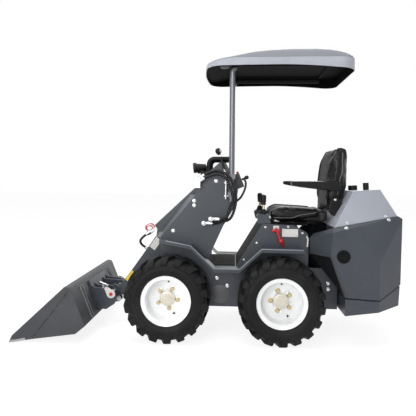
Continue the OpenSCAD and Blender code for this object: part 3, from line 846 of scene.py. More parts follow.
    def copies(self, name: str, pattern: Mesh, places: Sequence[tuple[Point, Vector]], finish: Finish,
               body: str = "chassis", angle: float = 35.0, turns: Optional[Sequence[Point]] = None,
               settle: bool = True) -> Thing:
        """Repeats a pattern, made along +Z, at many places on one body.

        Args:
            name: The piece's name.
            pattern: The shape to repeat.
            places: (point, direction of the pattern's +Z) pairs.
            finish: The finish.
            body: The body that carries them.
            angle: Edges sharper than this stay sharp, in degrees.
            turns: Euler angles that stand instead of the directions.
            settle: Whether the piece rides on its body at once.

        Returns:
            The joined piece.
        """
        shape = self.shaded(pattern, name + "_pattern", angle)
        source = bpy.data.objects.new(name + "_pattern", shape)
        points = bpy.data.meshes.new(name + "_points")
        points.from_pydata([p for p, _ in places], [], [])
        turn = points.attributes.new("turn", "FLOAT_VECTOR", "POINT")
        for i, (_, ahead) in enumerate(places):
            angles = turns[i] if turns else Vector((0, 0, 1)).rotation_difference(Vector(ahead)).to_euler()
            turn.data[i].vector = tuple(angles)
        holder = bpy.data.objects.new(name + "_points", points)
        for thing in (source, holder):
            bpy.context.scene.collection.objects.link(thing)
        self.run_tree(holder, self.ring_tree, Pattern=source, Finish=finish.material())
        ready = holder.evaluated_get(bpy.context.evaluated_depsgraph_get())
        data = bpy.data.meshes.new_from_object(ready)
        data.name = name
        for thing in (source, holder):
            bpy.data.objects.remove(thing)
        for spare in (shape, points):
            bpy.data.meshes.remove(spare)
        result = bpy.data.objects.new(name, data)
        bpy.context.scene.collection.objects.link(result)
        if not data.materials:
            data.materials.append(finish.material())
        if settle:
            self.settle(result, body)
        return result

    def dress(self, finish: Finish, *nodes: str, bevel: float = 0.0015, angle: float = 32.0) -> None:
        """Gives nodes of the frame a finish and crisp rounded edges.

        Args:
            finish: The finish.
            nodes: The nodes' names.
            bevel: Width of the rounding in metres, 0 for none.
            angle: Edges sharper than this stay sharp, in degrees.
        """
        for name in nodes:
            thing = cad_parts[name]
            thing.data.materials.clear()
            thing.data.materials.append(finish.material())
            self.run_tree(thing, self.smooth_tree, Distance=self.MERGE, Angle=math.radians(angle))
            if bevel:
                flat = thing.modifiers.new("flat", "DECIMATE")
                flat.decimate_type = "DISSOLVE"
                flat.angle_limit = math.radians(self.FLAT)
                self.round_edges(thing, bevel, angle)
            log.info("node %s in %s", name, finish.name)


def hex_head(across: float, height: float, washer: float = 0.0) -> Mesh:
    """A hexagon head along +Z with a domed top and an optional washer.

    Args:
        across: Size over its flats in metres.
        height: Height of the head in metres.
        washer: Radius of the washer in metres, 0 for none.

    Returns:
        The head, its foot on Z = 0.
    """
    foot = 0.0022 if washer else 0.0
    corner = across / math.sqrt(3)
    steps = ((1.0, foot), (1.0, foot + 0.8 * height), (0.86, foot + height), (0.3, foot + height * 1.03))
    head = Shapes.loft([Shapes.circle(share * corner, z, 6) for share, z in steps])
    if not washer:
        return head
    disc = ((washer, 0.0), (washer, 0.8 * foot), (washer - 0.001, foot))
    return Shapes.joined(Shapes.loft([Shapes.circle(r, z, 16) for r, z in disc]), head)


@dataclass
class Wheels:
    """Tyres with moulded lugs, wheel nuts, hub covers and valves."""

    bench: Bench
    corners: tuple[str, ...] = ("front_left", "front_right", "rear_left", "rear_right")
    lugs: int = 18
    tread: float = 0.292
    # how much wider a lug's foot is to each side, and the rounding of its edges
    lug_flare: float = 0.005
    lug_rounding: float = 0.0028
    nut_circle: float = 0.0699
    nut_across: float = 0.0252
    nut_height: float = 0.0155
    nut_washer: float = 0.0168
    # where the first nut stands on a parked wheel, in degrees
    front_turn: float = -27.0
    rear_turn: float = 1.0
    cover_out: float = 0.0135
    # hub cover: radius, distance out
    cover: Line = ((0.052, 0.0), (0.052, 0.004), (0.05, 0.0062), (0.043, 0.0066), (0.042, 0.0072),
                   (0.031, 0.0074), (0.030, 0.0066), (0.0125, 0.0066), (0.012, 0.0076), (0.004, 0.0078))
    # valve: place from the hub in X and Z, lean in X and Z, then radius and distance along it
    valve_at: Flat = (-0.047, -0.1025)
    valve_lean: Flat = (0.1, 0.16)
    valve: Line = ((0.007, 0.0), (0.0065, 0.005), (0.0042, 0.007), (0.0042, 0.018), (0.0052, 0.019),
                   (0.0052, 0.028), (0.0035, 0.03))
    # drain plug: distance from the hub, angle in degrees, then radius and distance out
    plug_circle: float = 0.112
    plug_turn: float = 93.0
    plug: Line = ((0.0062, -0.0005), (0.0062, 0.0006), (0.0045, 0.0008))
    # half section of the tyre from the tread's middle: radius, distance out
    section: Line = ((0.2725, 0.0), (0.272, 0.03), (0.2702, 0.058), (0.266, 0.08), (0.258, 0.0935),
                     (0.2475, 0.1005), (0.238, 0.1035), (0.2365, 0.1062), (0.2325, 0.1062), (0.231, 0.1045),
                     (0.222, 0.1068), (0.21, 0.1074), (0.2085, 0.1088), (0.2055, 0.1088), (0.204, 0.1066),
                     (0.194, 0.105), (0.184, 0.1015), (0.1768, 0.0985), (0.1725, 0.0975), (0.1692, 0.0907),
                     (0.1608, 0.0905), (0.1521, 0.0834))
    # rows along a lug: top and foot (each distance out, radius), half width, sweep round the tyre
    lug_rows: tuple[tuple[float, ...], ...] = (
        (-0.012, 0.2902, -0.012, 0.262, 0.0150, -0.036), (0.022, 0.2920, 0.022, 0.262, 0.0175, -0.019),
        (0.058, 0.2916, 0.058, 0.260, 0.0205, -0.003), (0.084, 0.2897, 0.080, 0.256, 0.0240, 0.008),
        (0.0985, 0.2832, 0.088, 0.248, 0.0262, 0.014), (0.1062, 0.2690, 0.090, 0.240, 0.0262, 0.017),
        (0.1084, 0.2520, 0.092, 0.234, 0.0240, 0.019), (0.1072, 0.2410, 0.094, 0.230, 0.0215, 0.020))

    def hub(self, corner: str) -> Vector:
        """The centre of a wheel."""
        low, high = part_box("tyre_" + corner)
        return (Vector(low) + Vector(high)) / 2

    def lug(self, side: Side) -> Mesh:
        """One lug at the top of the tyre, on one shoulder.

        Args:
            side: The shoulder's side.

        Returns:
            The lug about the wheel's centre.
        """
        rings = []
        for out, top, foot_out, foot, half, sweep in self.lug_rows:
            ring = []
            for r, y, wide in ((top, out, half), (foot, foot_out, half + self.lug_flare)):
                for sign in ((-1, 1) if r == top else (1, -1)):
                    turn = (sweep + sign * wide) / self.tread
                    ring.append((r * math.sin(turn), side.value * y, r * math.cos(turn)))
            rings.append(ring)
        mesh = Shapes.loft(rings)
        edges = [e for e in mesh.edges if e.calc_face_angle(0.0) > math.radians(40)]
        bmesh.ops.bevel(mesh, geom=edges, offset=self.lug_rounding, segments=2, affect="EDGES",
                        clamp_overlap=True)
        bmesh.ops.recalc_face_normals(mesh, faces=mesh.faces)
        return mesh

    def tyre(self, corner: str) -> None:
        """The tyre of one wheel."""
        centre = self.hub(corner)
        loop = [(r, -y) for r, y in reversed(self.section[1:])] + list(self.section)
        parts = [Shapes.moved(Shapes.lathe(loop, 120, ring=True), Matrix.Translation(centre))]
        pitch = 2 * math.pi / self.lugs
        places = [(tuple(centre), Vector((0, 0, 1)))] * self.lugs
        for side in Side:
            start = 0.0 if side is Side.LEFT else 0.5
            turns = [(0.0, (k + start) * pitch, 0.0) for k in range(self.lugs)]
            ring = self.bench.copies(f"lugs_{corner}_{side.name}", self.lug(side), places, Finishes.TYRE, "",
                                     turns=turns, settle=False)
            lugs = bmesh.new()
            lugs.from_mesh(ring.data)
            bpy.data.objects.remove(ring)
            parts.append(lugs)
        self.bench.piece("tyre_rubber_" + corner, Shapes.joined(*parts), Finishes.TYRE, "wheel_" + corner,
                         replaces=["tyre_" + corner], slot="tyre")

    def around(self, corner: str, radius: float, degrees: float, out: float) -> Vector:
        """A place on the face of a wheel.

        Args:
            corner: The wheel.
            radius: Distance from the hub in metres.
            degrees: Angle from straight ahead.
            out: Distance out from the middle of the tyre in metres.

        Returns:
            The place.
        """
        centre, turn = self.hub(corner), math.radians(degrees)
        sign = 1 if centre.y > 0 else -1
        return centre + Vector((radius * math.cos(turn), sign * out, radius * math.sin(turn)))

    def fittings(self, corner: str) -> None:
        """Nuts, hub cover, valve and drain plug of one wheel."""
        body, centre = "wheel_" + corner, self.hub(corner)
        sign = 1 if centre.y > 0 else -1
        out = Vector((0, sign, 0))
        first = self.front_turn if corner.startswith("front") else self.rear_turn
        ring = [(self.around(corner, self.nut_circle, 72 * k + first, 0.002), out) for k in range(5)]
        nut = hex_head(self.nut_across, self.nut_height, self.nut_washer)
        self.bench.copies("wheel_nuts_" + corner, nut, ring, Finishes.BRASS, body)
        at = centre + out * self.cover_out
        self.bench.piece("hub_cover_" + corner, Shapes.turned(at, at + out, self.cover, 56), Finishes.HUB,
                         body)
        at = centre + Vector((self.valve_at[0], sign * 0.001, self.valve_at[1]))
        way = out + Vector((self.valve_lean[0], 0, self.valve_lean[1]))
        self.bench.piece("valve_" + corner, Shapes.turned(at, at + way, self.valve, 12), Finishes.PLASTIC,
                         body)
        hole = [(self.around(corner, self.plug_circle, self.plug_turn, 0.0021), out)]
        plug = Shapes.loft([Shapes.circle(r, z, 16) for r, z in self.plug])
        self.bench.copies("drain_plugs_" + corner, plug, hole, Finishes.PLASTIC, body)

    def build(self) -> None:
        """All four wheels."""
        for corner in self.corners:
            self.tyre(corner)
            self.fittings(corner)
            self.bench.dress(Finishes.WHITE, "rim_" + corner, bevel=0.0012, angle=20)


@dataclass
class Bodywork:
    """Finishes of the welded frame and panels, with their bolts, beads and seals."""

    bench: Bench
    grey: tuple[str, ...] = ("chassis_tub", "tower_frames", "tower_cover_left", "tower_cover_right",
                             "tower_bulkhead", "mudguards", "seat_box_sides", "consoles", "rear_side_left",
                             "rear_side_right", "rear_panel", "counterweight")
    # bolt heads on a tower cover: along X, height
    tower_bolts: Line = ((0.256, 0.735), (0.107, 0.920), (0.108, 0.952), (-0.048, 1.096), (-0.184, 0.970))
    # bolt heads on the side of the tub
    tub_bolts: Line = ((-0.842, 0.385), (-0.842, 0.345), (-0.060, 0.405), (-0.135, 0.352))
    # a bolt's size over its flats, height and washer radius
    bolt: Point = (0.0192, 0.008, 0.0135)
    # top edge of the mudguards: X, height
    guard_line: Line = ((0.292, 0.678), (0.119, 0.647), (-0.043, 0.493), (-0.220, 0.493), (-0.370, 0.633),
                        (-0.654, 0.631))
    bead_radius: float = 0.0034
    # front edge of the housing's left side
    seal_line: Route = ((-0.706, 0.300, 0.600), (-0.819, 0.460, 0.603), (-0.913, 0.460, 0.335))
    seal_radius: float = 0.0062
    # lower and upper face of the nose panel from the housing's face
    nose: Flat = (-0.001, 0.0012)
    # blank round plate on the side of the tub: X, height, then radius and distance out
    disc_at: Flat = (-0.083, 0.292)
    disc: Line = ((0.066, 0.0), (0.066, 0.0012), (0.0654, 0.0016))

    def beads(self) -> None:
        """Rolled edges of the mudguards, pale grey as a painted highlight, and the dark seal along the
        housing's front edge.
        """
        edge = Vector(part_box("mudguards")[1]).y - 0.001
        guard = Shapes.tube([(x, edge, z) for x, z in self.guard_line], self.bead_radius, 12)
        # painted highlight: the rolled edges are pale grey along the mudguards' top
        self.bench.piece("mudguard_beads", Shapes.mirrored(guard), Finishes.BEAD_HIGHLIGHT, angle=50)
        seal = Shapes.tube(self.seal_line, self.seal_radius, 12)
        self.bench.piece("housing_seals", Shapes.mirrored(seal), Finishes.BLACK, angle=50)
        first, second, third = (Vector(p) for p in self.seal_line)
        out = (second - first).cross(third - first).normalized()
        out = out if out.y > 0 else -out
        cover = Shapes.loft([[p + high * out for p in (first, second, third)] for high in self.nose])
        self.bench.piece("housing_nose", Shapes.mirrored(cover), Finishes.DARK)

    def bolts(self) -> None:
        """The blank plate and the bolt heads that show on the tower and the tub."""
        half = Vector(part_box("chassis_tub")[1]).y
        x, z = self.disc_at
        plate = Shapes.turned((x, half - 0.0005, z), (x, 1, z), self.disc, 64)
        self.bench.piece("tub_discs", Shapes.mirrored(plate), Finishes.MARK)
        places = [(Vector((x, s.value * half, z)), Vector((0, s.value, 0)))
                  for x, z in self.tower_bolts + self.tub_bolts for s in Side]
        self.bench.copies("body_bolts", hex_head(*self.bolt), places, Finishes.ZINC)

    def build(self) -> None:
        """Dresses the nodes and adds the fixings."""
        self.bench.dress(Finishes.BODY, *self.grey, bevel=0.0022, angle=12)
        self.bench.dress(Finishes.HOOD, "hood", bevel=0.003, angle=8)
        for finish, nodes in ((Finishes.CAST, ("wheel_motors", "engine_block")),
                              (Finishes.STEEL, ("boom_pin", "hitch_pins")), (Finishes.MAT, ("floor_mat",)),
                              (Finishes.PLASTIC, ("joysticks", "filler_caps", "grab_bar", "seat_base")),
                              (Finishes.DARK, ("seat_box_front",)), (Finishes.POST, ("canopy_frame",))):
            self.bench.dress(finish, *nodes)
        self.bolts()
        self.beads()


@dataclass
class TowerGear:
    """Hoses, levers, lamps and the valve on the tower."""

    bench: Bench
    face: float = 0.262
    hose_radius: float = 0.0098
    # the spiral guard: its turns, and where it starts and ends along a hose
    guard_turns: int = 62
    guard_span: Flat = (0.16, 0.86)
    # length of a hose's end sleeve, in mm
    sleeve: float = 56.4
    # a hose in mm: lower fitting's X, height and distance out, upper end's height, inset, rise at the bend
    hose_rows: tuple[tuple[float, ...], ...] = ((35, 796, 24, 1113, 0, 46), (-15, 828, 48, 1090, 22, 76))
    # crimped collar of a hose, and its union nut: radius, distance along it
    collar_back: float = 0.030
    collar: Line = ((0.0128, 0), (0.0142, 0.001), (0.0142, 0.011), (0.0131, 0.012), (0.0131, 0.016),
                    (0.0138, 0.017), (0.0138, 0.022), (0.0131, 0.023), (0.0131, 0.027), (0.0138, 0.028),
                    (0.0138, 0.033), (0.0112, 0.0345))
    union_out: float = 0.012
    union: Line = ((0.0158, 0), (0.0158, 0.004), (0.0125, 0.0045), (0.0125, 0.012), (0.010, 0.0135))
    # hand lever: line and profile of its knob and its sleeve, then the line of its boot
    knob_line: tuple[Point, Point] = ((-0.067, 0.278, 1.287), (-0.061, 0.278, 1.308))
    knob: Line = ((0.010, -0.006), (0.012, 0.0), (0.018, 0.007), (0.0212, 0.016), (0.0212, 0.026),
                  (0.017, 0.036), (0.009, 0.042))
    lever_line: tuple[Point, Point] = ((-0.1175, 0.278, 1.128), (-0.1065, 0.278, 1.167))
    lever_sleeve: Line = ((0.0085, -0.004), (0.0105, 0.0), (0.0105, 0.038), (0.0075, 0.041))
    boot_line: Route = ((-0.1035, 0.278, 1.180), (-0.092, 0.278, 1.222), (-0.079, 0.278, 1.268))
    boot_radius: float = 0.0078
    # control valve: its levers' Y, then X and Z, direction and profile of their knobs
    valve_levers: tuple[float, ...] = (0.158, 0.186, 0.214)
    valve_knob_at: Flat = (-0.2575, 1.1196)
    valve_knob_way: Point = (-0.91, 0, 0.41)
    valve_knob: Line = ((0.0068, -0.012), (0.0085, -0.004), (0.0128, 0.001), (0.0142, 0.009),
                        (0.0125, 0.018), (0.006, 0.0235))
    # outline of the valve's cover in X and Z, and its reach along Y
    valve_outline: Line = ((-0.2005, 1.0385), (-0.1585, 1.1355), (-0.2090, 1.1556), (-0.2496, 1.0586))
    valve_span: Flat = (0.1388, 0.2334)
    mark_line: tuple[Point, Point] = ((-0.203, 0.226, 1.148), (-0.196, 0.226, 1.165))
    mark: Line = ((0.009, 0.0), (0.009, 0.014), (0.006, 0.018))
    pipe_line: Route = ((-0.236, 0.236, 1.112), (-0.246, 0.246, 1.110), (-0.258, 0.256, 1.085),
                        (-0.252, 0.262, 1.04), (-0.226, 0.262, 0.985), (-0.196, 0.258, 0.955))
    pipe_radius: float = 0.0075
    # work lamps: left one's place, the way they point, then distance ahead and profile of lens and rim
    lamp_at: Point = (0.030, 0.175, 1.198)
    lamp_aim: Point = (0.9945, 0.0, -0.1045)
    lens_ahead: float = 0.084
    lens: Line = ((0.0305, 0.0005), (0.0302, 0.004), (0.022, 0.0072), (0.010, 0.0085))
    rim_ahead: float = 0.0695
    rim: Line = ((0.0315, 0.0), (0.0368, 0.001), (0.0375, 0.006), (0.0375, 0.020), (0.0362, 0.0232),
                 (0.0312, 0.0232), (0.0308, 0.0180))
    # foam roll on the grab bar: its right end and its profile
    roll_at: Point = (-0.150, -0.172, 1.258)
    roll: Line = ((0.0215, 0.0), (0.0235, 0.002), (0.0235, 0.342), (0.0215, 0.344))

    def hose_path(self, row: Sequence[float]) -> list[Vector]:
        """The line of one hose.

        Args:
            row: Its row of the table.

        Returns:
            Points along its smooth line in metres.
        """
        x, z, out, top_z, inset, rise = row
        y = 1000 * self.face + out
        up = Vector((-5, 0, 3)).normalized()
        low = Vector((x - self.sleeve, y, z))
        top = Vector((86, y, top_z - 6)) + self.sleeve * up
        stops = [low, low - Vector((14, 0, 0)), (x - 108, y + inset / 2, z + 8),
                 (-156 + inset / 2, y + 30, z + rise), (-190 + inset, y + 46, 985),
                 (-144 + inset, y + 48, 1122 - inset / 2), (-56, y + 24, top_z + 54), top + 14 * up, top]
        return Shapes.smooth_path([Vector(p) / 1000 for p in stops], 40)

    def guarded(self, t: float) -> float:
        """Radius of a hose with its guard's turns, at a place along it from 0 to 1."""
        start, end = self.guard_span
        guard = max(0.0, math.sin(2 * math.pi * self.guard_turns * t)) if start < t < end else 0.0
        return self.hose_radius - 0.0008 + 0.0021 * guard ** 0.5

    def hoses(self) -> None:
        """Two hoses with a spiral guard over their bend."""
        for name, row in zip(("lower", "upper"), self.hose_rows):
            path = self.hose_path(row)
            tube = self.bench.piece("tower_hose_" + name, Shapes.tube(path, self.guarded, 16), Finishes.HOSE,
                                    replaces=["tower_hoses"], angle=60)
            self.bench.hose(tube, path, 2 * self.hose_radius)

    def ends(self) -> None:
        """Crimped collars and union nuts where the hoses end."""
        collars = []
        for row in self.hose_rows:
            path = self.hose_path(row)
            for at, ahead in ((path[0], path[1] - path[0]), (path[-1], path[-2] - path[-1])):
                back = ahead.normalized()
                start = at - self.collar_back * back
                collars.append(Shapes.turned(start, start + back, self.collar))
            x, z, out = row[0] / 1000, row[1] / 1000, self.face + row[2] / 1000
            collars.append(Shapes.turned((x, out + self.union_out, z), (x, 1, z), self.union))
        self.bench.piece("hose_collars", Shapes.joined(*collars), Finishes.ZINC)

    def lever(self) -> None:
        """Black knob, white sleeve and boot of the hand lever."""
        self.bench.piece("hand_lever_knob", Shapes.turned(*self.knob_line, self.knob), Finishes.PLASTIC)
        sleeve = Shapes.turned(*self.lever_line, self.lever_sleeve)
        self.bench.piece("hand_lever_sleeve", sleeve, Finishes.IVORY)
        boot = Shapes.tube(Shapes.smooth_path(self.boot_line, 10), self.boot_radius, 14)
        self.bench.piece("hand_lever_boot", boot, Finishes.PLASTIC)

    def valve(self) -> None:
        """Knobs, cover, a red mark and the hose of the control valve."""
        x, z = self.valve_knob_at
        knobs = [(Vector((x, y, z)), Vector(self.valve_knob_way)) for y in self.valve_levers]
        shape = Shapes.turned((0, 0, 0), (0, 0, 1), self.valve_knob, 20)
        self.bench.copies("valve_knobs", shape, knobs, Finishes.PLASTIC)
        block = Shapes.prism(self.valve_outline, *self.valve_span)
        self.bench.piece("valve_block", block, Finishes.BLACK, bevel=0.001)
        self.bench.piece("valve_mark", Shapes.turned(*self.mark_line, self.mark), Finishes.RED)
        pipe = Shapes.smooth_path(self.pipe_line, 14)
        tube = self.bench.piece("valve_pipe", Shapes.tube(pipe, self.pipe_radius, 14), Finishes.HOSE)
        self.bench.hose(tube, pipe, 2 * self.pipe_radius)

    def lamps(self) -> None:
        """Lenses and rims of the work lamps."""
        aim = Vector(self.lamp_aim)
        x, y, z = self.lamp_at
        lens, rims = [], []
        for side in Side:
            at = Vector((x, side.value * y, z))
            lens.append(Shapes.turned(at + self.lens_ahead * aim, at + aim, self.lens, 32))
            rims.append(Shapes.turned(at + self.rim_ahead * aim, at + aim, self.rim, 40))
        self.bench.piece("lamp_lenses", Shapes.joined(*lens), Finishes.LENS)
        self.bench.piece("lamp_rims", Shapes.joined(*rims), Finishes.PLASTIC)

    def grip(self) -> None:
        """Foam roll on the grab bar."""
        x, _, z = self.roll_at
        self.bench.piece("grab_roll", Shapes.turned(self.roll_at, (x, 1, z), self.roll, 32), Finishes.MAT)

    def build(self) -> None:
        """All of the tower's gear."""
        self.bench.dress(Finishes.ZINC, "hose_fittings")
        self.bench.dress(Finishes.PLASTIC, "work_lamps")
        for step in (self.hoses, self.ends, self.lever, self.valve, self.lamps, self.grip):
            step()


@dataclass
class BoomGear:
    """The boom with its cylinders, couplers and blank plates, and the hitch."""

    bench: Bench
    half: float = 0.090
    # corners of the blank plates on the left side plate: X, Z
    white_plate: Line = ((0.458, 0.596), (0.417, 0.567), (0.368, 0.636), (0.402, 0.674))
    yellow_plate: Line = ((0.640, 0.344), (0.606, 0.318), (0.564, 0.394), (0.590, 0.414))
    # couplers: end of the middle one, the way they point and their places along Y
    coupler_end: Point = (0.478, 0.0, 0.690)
    coupler_way: Point = (15, 0, -11)
    coupler_row: tuple[float, ...] = (-0.036, 0.0, 0.036)
    # dust cap: radius, distance along it; its strap's points, radius and the sizes of its two loops
    cap: Line = ((0.0168, 0.0), (0.0178, 0.001), (0.0178, 0.012), (0.015, 0.015), (0.013, 0.021),
                 (0.008, 0.023))
    strap: Route = ((0, 0, 0), (0.018, 0.004, 0.016), (0.016, 0.006, 0.042), (-0.018, 0.004, 0.056),
                    (-0.044, 0.0, 0.040), (-0.052, -0.002, 0.012))
    strap_radius: float = 0.0026
    strap_sizes: Flat = (1.0, 0.72)
    # hose loop: its lower end, the way out of it, points of its bend, radius and end fitting
    loop_foot: Point = (0.48246, 0.036, 0.57056)
    loop_way: Point = (221, 0, 155)
    loop_bend: Route = ((0.516, 0.042, 0.660), (0.536, 0.046, 0.632), (0.526, 0.042, 0.604))
    loop_straight: float = 0.014
    loop_gap: float = 0.0004
    loop_radius: float = 0.009
    loop_end: Line = ((0.0118, 0.0), (0.0118, 0.018), (0.0098, 0.0195))
    # hitch pin in X and Z; its keeper's end radii, the small end's place from the pin, and reach in Y
    pin: Flat = (0.718, 0.258)
    keeper_radii: Flat = (0.0312, 0.0145)
    keeper_arm: Flat = (0.034, 0.038)
    keeper_span: Flat = (0.2045, 0.2090)
    grease_cap: Line = ((0.0130, 0.0), (0.0130, 0.003), (0.0124, 0.0045), (0.0122, 0.0066), (0.006, 0.0085))
    # lock lever: line and profile of its rod, then the corners of its tongue
    lock_line: tuple[Point, Point] = ((0.741, 0.192, 0.316), (0.812, 0.192, 0.346))
    lock_rod: Line = ((0.007, 0.0), (0.008, 0.002), (0.008, 0.034), (0.0055, 0.036), (0.0055, 0.060),
                      (0.0075, 0.061), (0.0075, 0.069), (0.006, 0.071))
    lock_tongue: tuple[Point, Point] = ((0.770, 0.190, 0.296), (0.788, 0.194, 0.332))
    # bucket: outlines in X and Z of its wear edge, side groove and back ribs, and the places of these along Y
    wear_edge: Line = ((1.3235, 0.0012), (1.3185, 0.0105), (1.212, 0.0355), (1.206, 0.0195))
    wear_half: float = 0.5406
    # the groove's outline holds a black strip, painted shade in the groove
    groove: Line = ((0.9125, 0.3545), (0.9175, 0.3575), (1.1675, 0.0303), (1.1625, 0.0267))
    groove_span: Flat = (0.5365, 0.5376)
    rib: Line = ((0.899, 0.350), (0.805, 0.126), (0.798, 0.129), (0.890, 0.350))
    rib_row: Flat = (0.330, 0.372)
    rib_wide: float = 0.004

    def plates(self) -> None:
        """Blank plates on the side of the boom."""
        rows = (("white", self.white_plate, Finishes.IVORY), ("yellow", self.yellow_plate, Finishes.YELLOW))
        for name, outline, finish in rows:
            plate = Shapes.prism(outline, self.half - 0.0005, self.half + 0.0016)
            self.bench.piece("boom_plate_" + name, plate, finish, "boom", bevel=0.0006)

    def couplers(self) -> None:
        """Red dust caps with their straps on the free couplers, and the hose loop on the third."""
        ahead, end = Vector(self.coupler_way).normalized(), Vector(self.coupler_end)
        caps = []
        for y in self.coupler_row[:2]:
            at = end + Vector((0, y, 0)) - 0.003 * ahead
            caps.append(Shapes.turned(at, at + ahead, self.cap))
            start = at + 0.012 * ahead + Vector((0, 0, 0.017))
            for size in self.strap_sizes:
                stops = [start + size * Vector(p) for p in self.strap]
                caps.append(Shapes.tube(Shapes.smooth_path(stops, 10), self.strap_radius, 10))
        self.bench.piece("coupler_caps", Shapes.joined(*caps), Finishes.RED, "boom", angle=50)
        out = Vector(self.loop_way).normalized()
        top = end + Vector((0, self.coupler_row[2], 0)) + self.loop_gap * ahead
        foot = Vector(self.loop_foot) + self.loop_gap * out
        path = Shapes.smooth_path([top, top + self.loop_straight * ahead, *self.loop_bend,
                                   foot + self.loop_straight * out, foot], 14)
        loop = Shapes.tube(path, self.loop_radius, 18)
        tube = self.bench.piece("boom_hose_line", loop, Finishes.HOSE, "boom", replaces=["boom_hose"])
        self.bench.hose(tube, path, 2 * self.loop_radius)
        ends = [Shapes.turned(at, at + way, self.loop_end) for at, way in ((path[0], ahead), (path[-1], out))]
        self.bench.piece("boom_hose_ends", Shapes.joined(*ends), Finishes.ZINC, "boom")

    def teardrop(self) -> list[Flat]:
        """Outline of the pin's keeper plate in X and Z."""
        lean = math.atan2(self.keeper_arm[1], self.keeper_arm[0])
        line = []
        for radius, move, turns in ((self.keeper_radii[0], (0, 0), range(70, 291, 20)),
                                    (self.keeper_radii[1], self.keeper_arm, range(-70, 71, 20))):
            for turn in (lean + math.radians(a) for a in turns):
                line.append((self.pin[0] + move[0] + radius * math.cos(turn),
                             self.pin[1] + move[1] + radius * math.sin(turn)))
        return line

    def keepers(self) -> None:
        """White keeper plates, red grease caps and the lock lever of the hitch."""
        plate = Shapes.mirrored(Shapes.prism(self.teardrop(), *self.keeper_span))
        self.bench.piece("pin_keepers", plate, Finishes.IVORY, "bucket", bevel=0.0009)
        x, z = self.pin
        cap = Shapes.turned((x, self.keeper_span[1] - 0.0005, z), (x, 1, z), self.grease_cap)
        self.bench.piece("grease_caps", Shapes.mirrored(cap), Finishes.RED, "bucket")
        lever = Shapes.joined(Shapes.turned(*self.lock_line, self.lock_rod), Shapes.box(*self.lock_tongue))
        self.bench.piece("hitch_lock_lever", lever, Finishes.STEEL, "bucket", bevel=0.0008)

    def bucket_trim(self) -> None:
        """Worn cutting edge along the bucket's lip, black strips in the side grooves as painted shade, and
        thin ribs on its back.
        """
        edge = Shapes.prism(self.wear_edge, -self.wear_half, self.wear_half)
        self.bench.piece("cutting_edge", edge, Finishes.EDGE, "bucket", bevel=0.0012)
        # painted shade: a black strip along each side groove
        groove = Shapes.mirrored(Shapes.prism(self.groove, *self.groove_span))
        self.bench.piece("bucket_grooves", groove, Finishes.BLACK, "bucket")
        ribs = [Shapes.prism(self.rib, y, y + self.rib_wide) for y in self.rib_row]
        self.bench.piece("bucket_ribs", Shapes.mirrored(Shapes.joined(*ribs)), Finishes.EDGE, "bucket",
                         bevel=0.0006)

    def build(self) -> None:
        """Boom, cylinders, hitch and bucket."""
        self.bench.dress(Finishes.BODY, "boom", "hitch", bevel=0.0022, angle=14)
        self.bench.dress(Finishes.ZINC, "boom_couplers")
        self.bench.dress(Finishes.BLACK, "lift_barrel", "tilt_barrel", bevel=0.001)
        self.bench.dress(Finishes.CHROME, "lift_rod", "tilt_rod", bevel=0.0008)
        self.bench.dress(Finishes.BUCKET, "bucket", bevel=0.002, angle=12)
        for step in (self.plates, self.couplers, self.keepers, self.bucket_trim):
            step()


